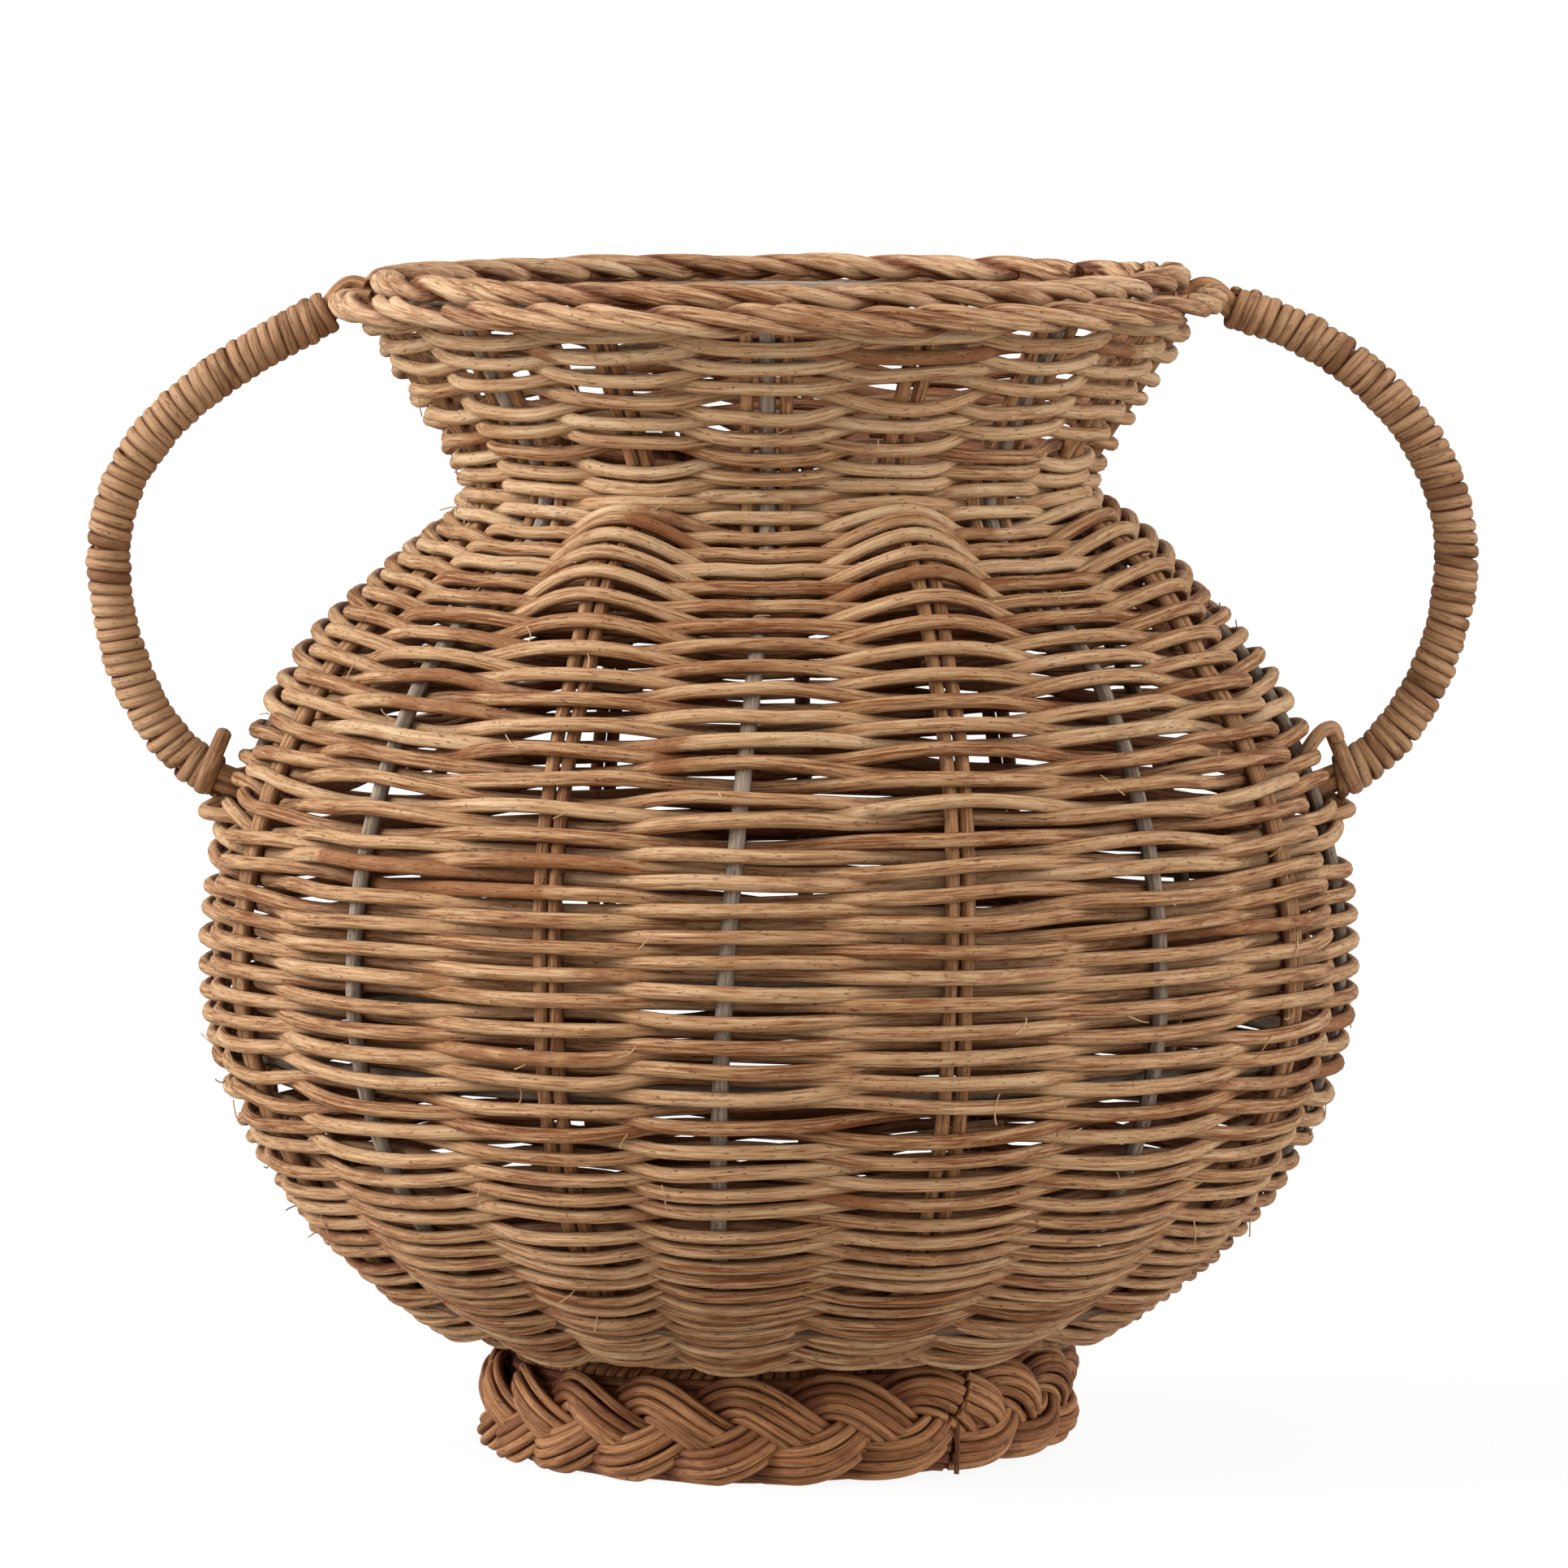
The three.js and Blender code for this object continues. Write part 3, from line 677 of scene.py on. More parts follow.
# The outline as an even run of radius, height and outward direction
outline = body_outline()
outline_length = length_along(outline)
WALL_LENGTH = outline_length[-1]
wall_run = np.arange(0, WALL_LENGTH, OUTLINE_STEP)
wall_radius = np.interp(wall_run, outline_length, outline[:, 0])
wall_height = np.interp(wall_run, outline_length, outline[:, 1])
wall_rise = unit(np.stack([np.gradient(wall_radius), np.gradient(wall_height)], axis=1))
wall_out_radius = eased(wall_rise[:, 1])
wall_out_height = eased(-wall_rise[:, 0])


def run_at(height):
    """The length of wall below a height."""
    return float(np.interp(height, wall_height, wall_run))


NECK_RUN = run_at(NECK_HEIGHT)
BELLY_RUN = run_at(BELLY_HEIGHT)

leans = rng.normal(0, LEAN_SPREAD, (PLACES, len(LEAN_HEIGHTS)))
for number, lean in FRONT_LEANS.items():
    leans[number] = lean
lean_runs = [run_at(height) for height in LEAN_HEIGHTS]
swell_runs = [run_at(height) for height in SWELL_HEIGHTS]


def leaning(run, turn):
    """The turn of a point of the wall, moved along with the stakes that lean."""
    step = ((turn - STAKE_TURN) / TURN * PLACES) % PLACES
    low = np.floor(step).astype(int) % PLACES
    share = smooth(step - np.floor(step))
    moved = np.zeros(np.broadcast(run, turn).shape)
    for number, knots in enumerate(np.eye(len(lean_runs))):
        lean = leans[low, number] * (1 - share) + leans[(low + 1) % PLACES, number] * share
        moved = moved + np.interp(run, lean_runs, knots) * lean
    return turn + np.radians(moved)


def wall_out(run, turn):
    """The outward direction of the wall."""
    out_radius = np.interp(run, wall_run, wall_out_radius)
    out_height = np.interp(run, wall_run, wall_out_height)
    return place(out_radius, leaning(run, turn), out_height)


def wall_point(run, turn, proud):
    """A point up the wall, this far proud of the middle of its stakes."""
    at_pair = (1 - np.cos(RODS * (turn - STAKE_TURN))) / 2
    pair = np.floor((turn - STAKE_TURN) / TURN * len(PAIR_SWELLS)).astype(int) % len(PAIR_SWELLS)
    swell = SWELL_OUT * PAIR_SWELLS[pair] * at_pair ** 3 - SWELL_IN * (1 - at_pair) ** 3
    swell = swell * np.interp(run, swell_runs, (0, 1, 1, 0))
    depth = STAKE_DEPTH - proud - swell
    radius = np.interp(run, wall_run, wall_radius)
    height = np.interp(run, wall_run, wall_height)
    return place(radius, leaning(run, turn), height) - depth[..., None] * wall_out(run, turn)


def ripple(turn, waves, size):
    """A gentle unevenness around the vase, another one at each call."""
    total = np.zeros_like(turn)
    for wave in range(1, waves + 1):
        total += rng.normal() * np.cos(wave * turn + rng.uniform(0, TURN))
    return size * total / math.sqrt(waves)


# Weave

# What changes up the wall, by the length of wall below: how flat the bows of a row are, its painted shade
# where it is deep and all over, the edge from which its sides are shaded, and its tone, darker at the base
# and lighter on the neck
BOW_FLATNESS = ((40, 110, NECK_RUN - 40, NECK_RUN), (7.0, 1.6, 1.6, 0.6))
DEEP_SHADE = ((0, 60, 110, NECK_RUN - 20, NECK_RUN + 10), (0.75, 0.65, 0.27, 0.27, 0.06))
EVEN_SHADE = ((60, 110), (0.12, 0.0))
ROW_EDGES = ((0, 60, 110), (0.6, 0.5, 0.25))
PAINTED_LIGHT_ROW_TONES = ((0, 70, NECK_RUN - 20, NECK_RUN + 10), (0.05, 0.38, 0.52, 0.86))


def at_heights(table, run):
    """A size that changes up the wall, from a table of heights and sizes."""
    return np.interp(run, [run_at(height) for height, _ in table], [size for _, size in table])


def row_levels():
    """How far up the wall the rows lie, before they are made uneven."""
    levels = [FIRST_ROW]
    while levels[-1] < WALL_LENGTH - LAST_ROW_DROP:
        levels.append(levels[-1] + at_heights(ROW_SPACINGS, levels[-1]))
    return np.array(levels)


level = row_levels()
ROWS = len(level)
belly_row = int(np.searchsorted(level, BELLY_RUN))
neck_row = int(np.searchsorted(level, NECK_RUN))


def uneven_rows():
    """How far up the wall each row lies at each turn, with loose places between rows."""
    turn = full_turn(ROW_COLUMNS)
    uneven = level[:, None] + np.array([ripple(turn, waves=9, size=ROW_WANDER) for _ in level])
    loose = [(math.radians(turn_at), run_at(height), math.radians(width), size)
             for turn_at, height, width, size in HOOP_WINDOWS]
    for low, high in LOOSE_BANDS:
        for _ in range(LOOSE_PLACES):
            turn_at = rng.uniform(0, TURN)
            size = rng.uniform(*(LOOSE_FRONT_SIZES if math.cos(turn_at) > 0 else LOOSE_BACK_SIZES))
            loose.append((turn_at, run_at(rng.uniform(low, high)), rng.uniform(*LOOSE_WIDTHS), size))
    for turn_at, run, width, size in loose:
        rows_away = (level - run) / (WALL_LENGTH / ROWS)
        push = size * np.tanh(LOOSE_STEEPNESS * rows_away) * np.exp(-np.abs(rows_away) / LOOSE_ROWS)
        uneven += push[:, None] * np.exp(-(apart(turn, turn_at) / width) ** 2)
    for row in range(1, ROWS):
        least = uneven[row - 1] + LEAST_SPACING * (level[row] - level[row - 1])
        uneven[row] = np.maximum(uneven[row], least)
    return uneven


rows = uneven_rows()


def row_run(row, turn):
    """How far up the wall a row lies at these turns."""
    return np.interp(turn % TURN, np.linspace(0, TURN, ROW_COLUMNS + 1), np.append(rows[row], rows[row][0]))


def stains_on(run, turn):
    """How stained a row is along its way, where stains are set and where they come by chance."""
    def stretch(middle, half, fade):
        return smooth((half - np.abs(apart(turn, middle))) / fade + 0.5)

    stain = np.zeros_like(turn)
    for start, end, height, strength in STAINS:
        near = np.abs(run - run_at(height)).min() < STAIN_REACH
        set_stain = stretch(math.radians(start + end) / 2, math.radians(end - start) / 2, STAIN_FADE)
        stain = np.maximum(stain, near * strength * set_stain)
    for _ in range(rng.poisson(CHANCE_STAINS)):
        chance_stain = stretch(rng.uniform(0, TURN), rng.uniform(*CHANCE_STAIN_HALVES), CHANCE_STAIN_FADE)
        stain = np.maximum(stain, rng.uniform(*CHANCE_STAIN_STRENGTHS) * chance_stain)
    return stain


def row_cane(row):
    """One row: a cane once round the wall, its ends side by side behind a stake."""
    bundle = row // 2 if row < TWIN_ROWS else row - TWIN_ROWS // 2
    side = 1 if bundle % 2 == 0 else -1
    joint = STAKE_TURN + (2 * rng.integers(0, RODS) + (side > 0)) * TURN / PLACES
    travel = np.linspace(-JOINT_LEAD, TURN + JOINT_OVERLAP, ROW_STEPS)
    turn = joint + travel
    run = row_run(row, turn)
    swing = np.cos(RODS * (turn - STAKE_TURN))
    flatness = np.interp(run, *BOW_FLATNESS)
    swing *= np.sqrt((1 + flatness) / (swing ** 2 + flatness))
    size = at_heights(WEAVER_SWINGS, run) * (1 + ripple(turn, waves=8, size=SWING_WANDER))
    if row < TWIN_ROWS:
        run = run + (2 * (row % 2) - 1) * TWIN_SPREAD * smooth(side * swing)
    tuck = smooth((travel - TURN + TUCK_LEAD) / TUCK_LENGTH)
    proud = side * size * swing - tuck * JOINT_DEPTH
    # Painted shade where the row passes behind the stakes, heavy at the base and faint on the neck, and all
    # over the lowest rows
    deep = np.interp(run, *DEEP_SHADE) * smooth(DEEP_EDGE - side * swing) + np.interp(run, *EVEN_SHADE)
    girth = rng.uniform(*WEAVER_GIRTHS)
    diameter = at_heights(WEAVER_DIAMETERS, run) * girth * (1 + ripple(turn, waves=9, size=GIRTH_WANDER))
    # Under the belly the side of a row kept free of painted shade looks outwards, not down
    out = wall_out(run, turn)
    out[:, 2] = np.maximum(out[:, 2], LEAST_OUT_RISE)
    # The middle of the row's tone paints shade on the lowest rows and light on the neck
    tone = tones(spread=0.6, middle=np.interp(run.mean(), *PAINTED_LIGHT_ROW_TONES))
    return cane(
        wall_point(run, turn, proud), diameter, tone, out=unit(out), deep=deep,
        stain=stains_on(run, turn), edge=np.interp(run.mean(), *ROW_EDGES))


lay("lower_weave", [row_cane(row) for row in range(belly_row)], "weaver", ["lower_wall"])
lay("upper_weave", [row_cane(row) for row in range(belly_row, neck_row)], "weaver", ["upper_wall"])
lay("neck_weave", [row_cane(row) for row in range(neck_row, ROWS)], "weaver", ["neck_wall"])


def loose_fibre():
    """A short fibre that stands off the weave."""
    row = int(rng.integers(TWIN_ROWS, ROWS - FIBRE_FREE_ROWS))
    root = row_run(row, np.array([rng.uniform(0, TURN)]))
    share = np.linspace(0, 1, FIBRE_STEPS)
    slant, curl = FIBRE_TURN_SPREADS
    turn = rng.uniform(0, TURN) + rng.normal(0, slant) * share + rng.normal(0, curl) * share ** 3
    rise, bow = FIBRE_RUN_SPREADS
    run = root + rng.normal(0, rise) * share + rng.normal(0, bow) * share ** 2
    proud = at_heights(WEAVER_SWINGS, root) + rng.uniform(*FIBRE_STANDS) * share
    return cane(wall_point(run, turn, proud), FIBRE_DIAMETER, rng.uniform(*FIBRE_TONES))


lay("loose_fibres", [loose_fibre() for _ in range(LOOSE_FIBRES)], "weaver", roundness=FIBRE_ROUNDNESS)


# Rods, stakes and hoops

def rod_turn(number):
    return STAKE_TURN + number * TURN / RODS


def stake_cane(turn, shift, diameter, low, tone):
    """A stake up the wall to the border, beside its place by a shift, not quite straight."""
    run = np.linspace(low, WALL_LENGTH - STAKE_TOP_DROP, STAKE_STEPS)
    turn = np.full_like(run, turn)
    across = place(-1.0, turn - math.pi / 2, 0.0)
    sway = shift + STAKE_SWAY * np.sin(run / rng.uniform(*STAKE_SWAY_LENGTHS) + rng.uniform(0, TURN))
    points = wall_point(run, turn, np.zeros_like(run)) + sway[:, None] * across
    return cane(points, diameter, tone, out=wall_out(run, turn))


for number in range(RODS):
    rod = stake_cane(rod_turn(number), 0, ROD_DIAMETER, 0, tones())
    lay(f"rod_{number + 1}", [rod], "rod", [f"frame_rod_{number + 1}"])
    pair_turn = rod_turn(number) + TURN / PLACES
    for side, name in ((-1, "left"), (1, "right")):
        stake = stake_cane(pair_turn, side * STAKE_SPACING / 2, STAKE_DIAMETER, 0, tones())
        lay(f"stake_{number + 1}_{name}", [stake], "stake", [f"side_stake_{number + 1}_{name}"])

flanks = []
for number in range(RODS):
    for side in (-1, 1):
        low = run_at(FLANK_FOOT_HEIGHT) + rng.uniform(-FLANK_FOOT_SPREAD, FLANK_FOOT_SPREAD)
        tone = tones(spread=0.5, middle=0.65)
        flanks.append(stake_cane(rod_turn(number), side * FLANK_SHIFT, FLANK_DIAMETER, low, tone))
lay("neck_canes", flanks, "stake")

hoop_turn = full_turn(HOOP_STEPS)


def body_hoop(name, height, depth, node, finish):
    """A hoop that lies inside the stakes."""
    run = np.full_like(hoop_turn, run_at(height))
    points = wall_point(run, hoop_turn, np.full_like(hoop_turn, STAKE_DEPTH - depth))
    points[:, 2] += height - points[:, 2].mean() + ripple(hoop_turn, waves=3, size=BODY_HOOP_WANDER)
    lay(name, [cane(points, HOOP_DIAMETER, tones(), closed=True)], finish, [node])


body_hoop("base_ring", BASE_HOOP_HEIGHT, BASE_HOOP_DEPTH, "base_hoop", "base_ring")
body_hoop("belly_ring", BELLY_HOOP_HEIGHT, BELLY_HOOP_DEPTH, "belly_hoop", "rod")
rim_ring = place(RIM_HOOP[0], hoop_turn, RIM_HOOP[1] + ripple(hoop_turn, waves=3, size=RIM_HOOP_WANDER))
lay("rim_ring", [cane(rim_ring, HOOP_DIAMETER, tones(), closed=True)], "rod", ["rim_hoop"])


# Border

def rope_cane(number, centre, lay_radii, hidden, offset):
    """A cane end once round the rope, from the hidden side to the hidden side, or cut off before."""
    cut = rng.random() < ROPE_CUTS
    first = rng.uniform(*ROPE_CUT_STARTS) if cut else -ROPE_OVERLAP
    last = 1 + ROPE_OVERLAP
    share = np.linspace(first, last, ROPE_STEPS)
    start = TURN * (number + rng.normal(0, ROPE_START_SPREAD)) / ROPE_CANES + offset
    turn = start + share * (TURN * ROPE_STRANDS / ROPE_CANES)
    angle = hidden - share * TURN + rng.normal(0, ROPE_ANGLE_SPREAD) - ROPE_LONG_LAY * np.sin(share * TURN)
    tuck = smooth(np.minimum(share + (ROPE_CUT_RISE if cut else ROPE_OVERLAP), last - share) / ROPE_TUCK)
    lift = 1 + rng.normal(0, ROPE_LIFT_SPREAD)
    lift_wave = np.sin(share * rng.uniform(*ROPE_LIFT_WAVES) + rng.uniform(0, TURN))
    lift = lift + ROPE_LIFT_WAVE * lift_wave
    lift *= ROPE_TUCK_LIFT + (1 - ROPE_TUCK_LIFT) * tuck
    height = centre[1] + RIGHT_END_RISE * np.exp(-(apart(turn, TURN / 4) / RIGHT_END_WIDTH) ** 2)
    points = place(
        centre[0] + lay_radii[0] * lift * np.cos(angle), turn, height + lay_radii[1] * lift * np.sin(angle))
    out = unit(points - place(centre[0], turn, height))
    girth = rng.uniform(*ROPE_GIRTHS)
    diameter = ROPE_CANE_DIAMETER * girth * (ROPE_TUCK_GIRTH + (1 - ROPE_TUCK_GIRTH) * tuck)
    stain = rng.uniform(*ROPE_STAIN_STRENGTHS) * (rng.random() < ROPE_STAINS)
    stain = stain * smooth(rng.uniform(-1, 1) + ROPE_STAIN_RISE * share)
    # Painted shade where the cane goes into the rope
    deep = ROPE_TUCK_SHADE * (1 - tuck)
    return cane(points, diameter, tones(spread=0.7), out=out, deep=deep, stain=stain, edge=ROPE_EDGE)


def rope(name, centre, lay_radii, hidden, offset, node):
    canes = [rope_cane(number, centre, lay_radii, hidden, offset) for number in range(ROPE_CANES)]
    lay(name, canes, "border", [node])


rope("lower_rope", LOWER_ROPE, LOWER_ROPE_LAY, LOWER_ROPE_HIDDEN, 0.0, "border_lower_rope")
rope("upper_rope", UPPER_ROPE, UPPER_ROPE_LAY, UPPER_ROPE_HIDDEN, TURN / ROPE_CANES / 2, "border_upper_rope")


# Foot: the plait is cut off on one side of the seam and folded on the other

def ribbon_canes(middle, out, turn, swaying):
    """Points, diameters and stains of the canes that lie side by side in a ribbon."""
    along = unit(np.gradient(middle, axis=0))
    across = unit(np.cross(along, out))
    canes = []
    for number in range(PLAIT_CANES):
        shift = (number - (PLAIT_CANES - 1) / 2) * PLAIT_CANE_SPACING + rng.normal(0, PLAIT_SHIFT_SPREAD)
        waves = turn * PLAIT_WAVES / rng.uniform(*PLAIT_SWAY_LENGTHS) + rng.uniform(0, TURN)
        sway = PLAIT_SWAY * np.sin(waves) * swaying
        points = middle + (shift + sway)[:, None] * across - PLAIT_ARCH * shift ** 2 * out
        diameter = PLAIT_CANE_DIAMETER * rng.uniform(*PLAIT_GIRTHS)
        points[:, 2] = np.maximum(points[:, 2], diameter / 2)
        stain = rng.uniform(*PLAIT_STAIN_STRENGTHS) * (rng.random() < PLAIT_STAINS)
        canes.append((points, diameter, stain))
    return canes


def fold_canes():
    """The end of a ribbon that is folded over beside the seam."""
    share = np.linspace(0, 1, FOLD_STEPS)
    turn = SEAM_TURN + FOLD_START + FOLD_LENGTH * share
    radius = PLAIT_RADIUS + FOLD_PROUD + FOLD_BULGE * np.sin(math.pi * share) - FOLD_TUCK * share ** 4
    middle = place(radius, turn, FOLD_HEIGHT - FOLD_DROP * share - FOLD_DIP * share ** 3)
    out = place(1.0, turn, 0.0)
    folded = ribbon_canes(middle, out, turn, FOLD_SWAY)[:-1]
    return [cane(points, diameter, tones(spread=0.4, middle=0.8), out=out, edge=PLAIT_EDGE)
            for points, diameter, _ in folded]


def tucked_canes():
    """The canes that lie behind the ribbons and close the plait."""
    turn = SEAM_TURN + full_turn(HOOP_STEPS)
    out = place(1.0, turn, 0.0)
    canes = []
    for height in TUCKED_HEIGHTS:
        heights = np.maximum(height + PLAIT_TILT * np.sin(turn), TUCKED_DIAMETER / 2)
        points = place(TUCKED_RADIUS, turn, heights)
        # Painted shade all over the canes behind the ribbons
        canes.append(cane(points, TUCKED_DIAMETER, tone=0.2, closed=True, out=out, deep=TUCKED_SHADE))
    return canes


def plait_ribbon(strand):
    """A ribbon once round the foot, from the seam to the seam.
    The first one also has the fold and the tucked canes."""
    turn = np.linspace(SEAM_TURN + SEAM_GAPS[0], SEAM_TURN + TURN - SEAM_GAPS[1], PLAIT_STEPS)
    phase = TURN * ((turn - SEAM_TURN) / TURN * PLAIT_WAVES + PLAIT_PHASE + strand / PLAIT_STRANDS)
    over = -np.sin(2 * phase)
    wave = np.sin(phase) - PLAIT_POINT * np.cos(2 * phase) - PLAIT_DROP
    height = PLAIT_MIDDLE + PLAIT_TILT * np.sin(turn) + PLAIT_SWING * wave
    middle = place(PLAIT_RADIUS + PLAIT_DEPTH * over, turn, height)
    out = place(1.0, turn, 0.0)
    # Painted shade where the ribbon passes under the others
    deep = PLAIT_SHADE * smooth(DEEP_EDGE - over)
    canes = [cane(points, diameter, tones(spread=0.3), out=out, deep=deep, stain=stain, edge=PLAIT_EDGE)
             for points, diameter, stain in ribbon_canes(middle, out, turn, 1.0)]
    if strand == 0:
        canes += fold_canes() + tucked_canes()
    lay(f"plait_ribbon_{strand + 1}", canes, "plait", [f"foot_strand_{strand + 1}"])


for strand in range(PLAIT_STRANDS):
    plait_ribbon(strand)

tie_height = np.linspace(*TIE_HEIGHTS, TIE_STEPS)
tie_turn = SEAM_TURN + TIE_TURN + TIE_TURN_WANDER * np.sin(tie_height / TIE_TURN_LENGTH)
tie_radius = PLAIT_RADIUS + TIE_PROUD + TIE_PROUD_WANDER * np.sin(tie_height / TIE_PROUD_LENGTH)
# Painted shade all over the tie in the seam
tie = cane(place(tie_radius, tie_turn, tie_height), TIE_DIAMETER, tone=0.0, deep=TIE_SHADE)
lay("seam_tie", [tie], "plait", ["foot_tie"])

ring_core = cane(place(FOOT_RING[0], hoop_turn, FOOT_RING[1]), FOOT_RING_CORE, tone=0.3, closed=True)
wrap_turn = full_turn(FOOT_RING_LOOPS * FOOT_RING_LOOP_STEPS)
wrap_angle = wrap_turn * FOOT_RING_LOOPS
wrap_out = place(np.cos(wrap_angle), wrap_turn, np.sin(wrap_angle))
wrap_radius = (FOOT_RING_CORE + FOOT_RING_WRAP_THICKNESS) / 2
wrap = place(FOOT_RING[0], wrap_turn, FOOT_RING[1]) + wrap_radius * wrap_out
wrap_flatness = FOOT_RING_WRAP_THICKNESS / FOOT_RING_WRAP_WIDTH
ring_wrap = cane(wrap, FOOT_RING_WRAP_WIDTH, tone=0.4, closed=True, flat=wrap_flatness, out=wrap_out)
lay("wrapped_ring", [ring_core, ring_wrap], "plait", ["foot_ring"])


# Floor

def floor_height(radius):
    return FLOOR_HEIGHT + FLOOR_EDGE_RISE * smooth((radius - FLOOR_RISE_RADIUS) / FLOOR_RISE_WIDTH)


floor_turns = (FLOOR_RADIUS - FLOOR_EYE_RADIUS) / FLOOR_SPACING
floor_turn = np.arange(0, floor_turns * TURN, TURN / FLOOR_TURN_STEPS)
floor_radius = FLOOR_EYE_RADIUS + floor_turn / TURN * FLOOR_SPACING
floor_swing = FLOOR_SWING * np.clip(floor_radius / FLOOR_FULL_SWING_RADIUS, FLOOR_LEAST_SWING, 1)
floor_weave = floor_swing * np.cos(SPOKES / 2 * floor_turn)
floor_path = place(floor_radius, floor_turn, floor_height(floor_radius) + floor_weave)
spokes = []
for number in range(SPOKES):
    spoke_radius = np.linspace(SPOKE_START_RADIUS, FLOOR_RADIUS + SPOKE_OVERHANG, SPOKE_STEPS)
    spoke = place(spoke_radius, TURN * number / SPOKES, floor_height(spoke_radius))
    spokes.append(cane(spoke, SPOKE_DIAMETER, tones()))
lay("floor_weave", [cane(floor_path, FLOOR_CANE, tone=0.4)], "weaver", ["woven_floor"])
lay("floor_spokes", spokes, "stake")


# Handles: a bundle of canes, wound with flat cane and bound at both ends

def bezier(*points):
    """A curve from the first of four points to the last, drawn towards the two between."""
    share = np.linspace(0, 1, HANDLE_CURVE_STEPS)[:, None]
    a, b, c, d = (np.array(point, dtype=float) for point in points)
    return ((1 - share) ** 3 * a + 3 * (1 - share) ** 2 * share * b
            + 3 * (1 - share) * share ** 2 * c + share ** 3 * d)


def handle_curve(side):
    """The middle of a handle, as distances from the axis and heights, and the length up to each point."""
    slope = HANDLE_SLOPES[side]
    reach = HANDLE_REACH[side]
    leaving = np.array([math.cos(slope), -math.sin(slope)])
    top = np.array(LOWER_ROPE) + HANDLE_START * leaving
    upper = bezier(top, top + HANDLE_TOP_SWEEP * leaving, (reach, HANDLE_UPPER_SWEEP), (reach, HANDLE_BEND))
    lower = bezier((reach, HANDLE_BEND), (reach, HANDLE_LOWER_SWEEP), HANDLE_SEAT_SWEEP, HANDLE_SEAT)
    curve = np.concatenate([upper, lower[1:]])
    return curve, length_along(curve)


handle_curves = {side: handle_curve(side) for side in HANDLE_FLIPS}


def handle_length(side):
    return handle_curves[side][1][-1]


def handle_middle(side, share):
    """Points at shares of the handle's length."""
    curve, length = handle_curves[side]
    run = share * length[-1]
    x = np.interp(run, length, curve[:, 0])
    z = np.interp(run, length, curve[:, 1])
    return np.stack([x, np.zeros_like(x), z], axis=1)


def handle_frame(side, share):
    """Middle of the handle, the direction out of its bow and the direction across it."""
    middle = handle_middle(side, share)
    ahead = handle_middle(side, np.clip(share + HANDLE_AHEAD, 0, 1))
    behind = handle_middle(side, np.clip(share - HANDLE_AHEAD, 0, 1))
    across = np.broadcast_to([0.0, 1.0, 0.0], middle.shape)
    return middle, np.cross(unit(ahead - behind), across), across


def core_canes(side):
    """The bundle inside the handle, whose canes go on at both ends."""
    share = np.linspace(0, 1, CORE_STEPS)
    middle, out, across = handle_frame(side, share)
    canes = []
    for number in range(CORE_CANES):
        angle = TURN * (number + 0.5) / CORE_CANES + share * CORE_TWIST
        away = np.cos(angle)[:, None] * out + np.sin(angle)[:, None] * across
        points = middle + CORE_RADIUS * away
        back = np.linspace(ROPE_TAIL, ROPE_TAIL_GAP, ROPE_TAIL_STEPS)[:, None]
        rope_end = points[0] - back * unit(points[1] - points[0])
        rope_end += np.sin(back / ROPE_TAIL * math.pi) * ROPE_TAIL_BOW
        on = np.linspace(1, SEAT_TAIL, SEAT_TAIL_STEPS)[:, None]
        seat_end = points[-1] + on * unit(points[-1] - points[-2])
        points = np.concatenate([rope_end, points, seat_end])
        away = np.pad(away, ((ROPE_TAIL_STEPS, SEAT_TAIL_STEPS), (0, 0)), "edge")
        canes.append(cane(points, CORE_CANE_DIAMETER, tones(spread=0.4, middle=0.7), out=away))
    return canes


def wound(side, span, loops, radius, slant, tone):
    """A flat cane wound round the handle between two shares of its length, no two loops quite alike."""
    angle = np.linspace(0, loops * TURN, int(loops * WRAP_LOOP_STEPS))
    knots = np.arange(math.ceil(loops) + 2)
    lean = slant + np.interp(angle / TURN, knots, rng.normal(0, WRAP_LEAN, len(knots)))
    swell = np.interp(angle / TURN, knots, rng.normal(0, WRAP_SWELL, len(knots)))
    slip = np.interp(angle / TURN, knots, rng.normal(0, WRAP_SLIP, len(knots)))
    share = np.linspace(*span, len(angle)) + (lean * np.cos(angle) + slip) / handle_length(side)
    middle, out, across = handle_frame(side, np.clip(share, 0, 1))
    away = np.cos(angle)[:, None] * out + np.sin(angle)[:, None] * across
    points = middle + (radius + swell)[:, None] * away
    stains = rng.uniform(*WRAP_STAIN_CHANCES, len(knots))
    stain = WRAP_STAIN * smooth(np.interp(angle / TURN, knots, stains))
    flat = WRAP_THICKNESS / WRAP_WIDTH
    return cane(points, WRAP_WIDTH, tone, flat=flat, out=away, stain=stain, edge=WRAP_EDGE)


def winding_canes(side):
    """The winding, of a few canes one after the other."""
    low, high = WRAP_SPAN
    loops = round((high - low) * handle_length(side) / WRAP_PITCH)
    joins = rng.choice(np.arange(WRAP_LEAST_LOOPS, loops - WRAP_LEAST_LOOPS), WRAP_JOINS, replace=False)
    edges = [0, *np.sort(joins), loops]
    canes = []
    for first, last in zip(edges[:-1], edges[1:]):
        span = (low + (high - low) * first / loops, low + (high - low) * last / loops)
        canes.append(wound(side, span, last - first, WRAP_RADIUS, 0.0, tones(spread=0.5)))
    return canes


def top_binding_canes(side):
    """Loops that close the winding at the rope."""
    radius = WRAP_RADIUS - TOP_BINDING_DEPTH
    tone = tones(spread=0.4)
    return [wound(side, TOP_BINDING_SPAN, TOP_BINDING_LOOPS, radius, TOP_BINDING_SLANT, tone)]


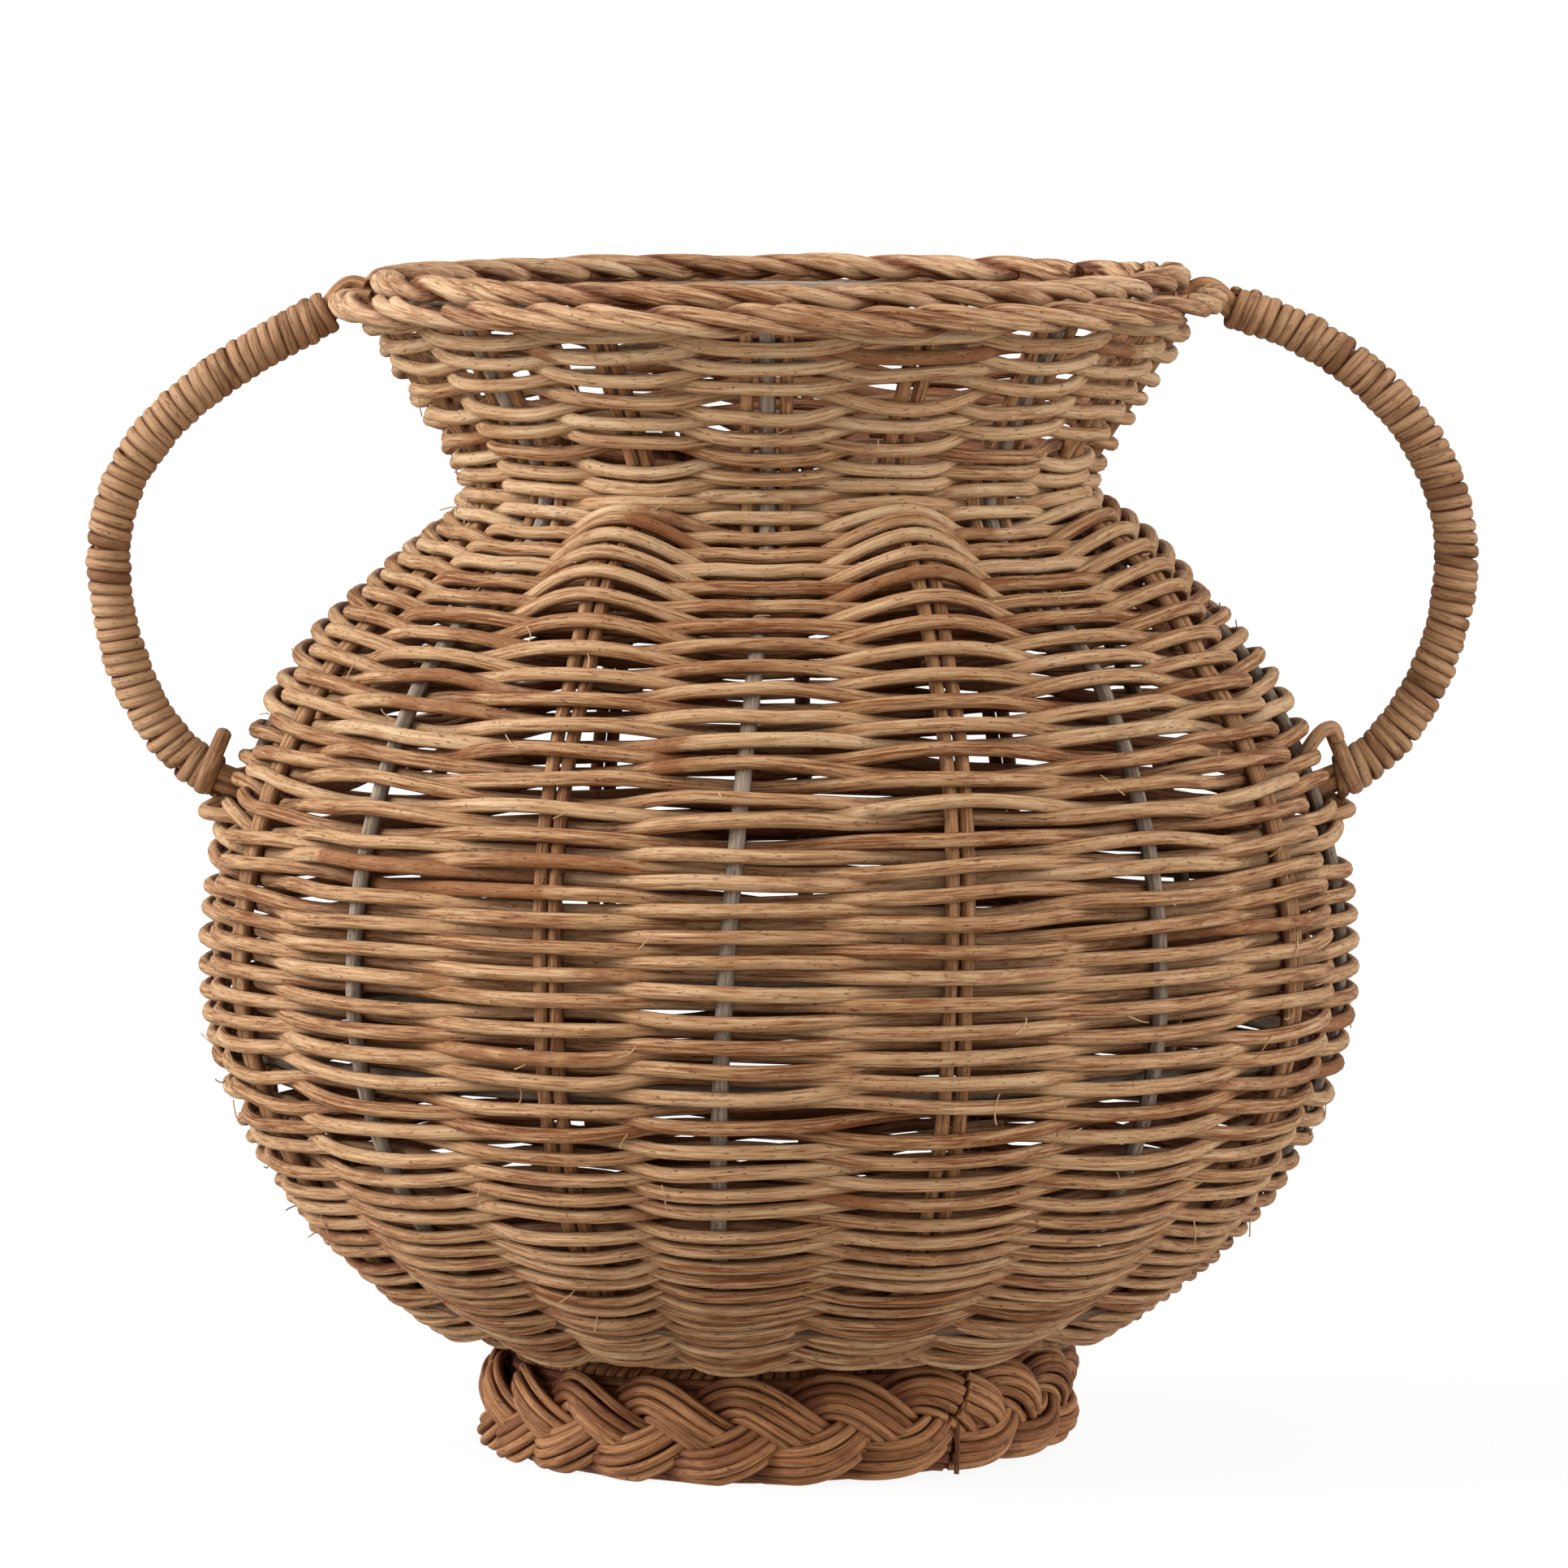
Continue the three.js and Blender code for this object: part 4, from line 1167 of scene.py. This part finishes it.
def seat_loop():
    """A cane slung slantwise round the end of the handle."""
    high, low = (np.array([x, 0.0, z]) for x, z in SEAT_LOOP)
    angle = full_turn(SEAT_LOOP_STEPS)
    half = (low - high) / 2
    side = np.array([0.0, SEAT_LOOP_HALF_WIDTH, 0.0])
    away = unit(np.cos(angle)[:, None] * half + np.sin(angle)[:, None] * side * SEAT_LOOP_FACING)
    points = (high + low) / 2 + np.cos(angle)[:, None] * half + np.sin(angle)[:, None] * side
    return cane(
        points, SEAT_LOOP_DIAMETER, tone=0.45, closed=True, flat=SEAT_LOOP_FLATNESS, out=away,
        stain=SEAT_LOOP_STAIN)


def bent(points, diameter, tone):
    """A short cane along a bent line through a few points."""
    share = np.linspace(0, 1, len(points))
    fine = np.linspace(0, 1, BENT_STEPS)
    points = np.array(points, dtype=float)
    line = np.stack([np.interp(fine, share, points[:, axis]) for axis in range(3)], axis=1)
    for _ in range(BENT_ROUNDS):
        line[1:-1] = (line[:-2] + 2 * line[1:-1] + line[2:]) / 4
    return cane(line, diameter, tone)


def seat_binding_canes(side):
    """Loops at the end of the handle, the cane slung round it and the ends that go into the weave."""
    tone = tones(spread=0.4)
    loops = wound(side, SEAT_BINDING_SPAN, SEAT_BINDING_LOOPS, WRAP_RADIUS, SEAT_BINDING_SLANT, tone)
    return [loops, seat_loop()] + [bent(*end) for end in SEAT_ENDS[side]]


def on_side(side, canes):
    """Canes drawn for the right side, turned round to a handle's own side."""
    flip = HANDLE_FLIPS[side]
    return [{**each, "points": each["points"] * flip, "out": each["out"] * flip} for each in canes]


for side in HANDLE_FLIPS:
    lay(f"{side}_core", on_side(side, core_canes(side)), "stake", [f"{side}_handle_core"])
    lay(f"{side}_winding", on_side(side, winding_canes(side)), "winding", [f"{side}_handle_wrap"])
    top_binding = on_side(side, top_binding_canes(side))
    lay(f"{side}_top_binding", top_binding, "winding", [f"{side}_handle_top_lashing"])
    seat_binding = on_side(side, seat_binding_canes(side))
    lay(f"{side}_seat_binding", seat_binding, "winding", [f"{side}_handle_seat_lashing"])


# Ground, light and camera

bpy.ops.object.select_all(action="DESELECT")
bpy.ops.mesh.primitive_plane_add(size=GROUND_SIZE)
ground = bpy.context.object
ground.name = "ground"
ground.visible_diffuse = False
ground.visible_glossy = False
pale = Finish("pale_ground")
pale.feed(pale.shader, {
    "Base Color": GROUND_COLOR,
    "Roughness": 0.9,
    "Specular IOR Level": 0.0,
    "Emission Color": (1, 1, 1, 1),
    "Emission Strength": GROUND_GLOW,
})
ground.data.materials.append(pale.material)


def soft_sun(name, azimuth, elevation, spread, power):
    """A wide, far lamp that stands to the right of the front by an azimuth, in degrees."""
    turn = math.radians(azimuth)
    rise = math.radians(elevation)
    toward = Vector((math.sin(turn) * math.cos(rise), -math.cos(turn) * math.cos(rise), math.sin(rise)))
    bpy.ops.object.light_add(type="SUN", location=LAMP_DISTANCE * toward)
    lamp = bpy.context.object
    lamp.name = name
    lamp.data.angle = math.radians(spread)
    lamp.data.energy = power
    lamp.rotation_euler = (-toward).to_track_quat("-Z", "Y").to_euler()


soft_sun("key", azimuth=-80, elevation=27, spread=40, power=3.8)
soft_sun("side", azimuth=78, elevation=20, spread=50, power=1.65)
soft_sun("fill", azimuth=8, elevation=12, spread=70, power=0.6)

world = bpy.data.worlds.new("white_room")
world.use_nodes = True
world.node_tree.nodes["Background"].inputs["Color"].default_value = ROOM_COLOR
world.node_tree.nodes["Background"].inputs["Strength"].default_value = ROOM_LIGHT
bpy.context.scene.world = world
bpy.context.scene.view_settings.view_transform = "Standard"

bpy.ops.object.camera_add(location=CAMERA_AT)
camera = bpy.context.object
camera.rotation_euler = (CAMERA_AIM - CAMERA_AT).to_track_quat("-Z", "Y").to_euler()
camera.data.sensor_width = CAMERA_SENSOR
camera.data.lens = CAMERA_LENS
bpy.context.scene.camera = camera
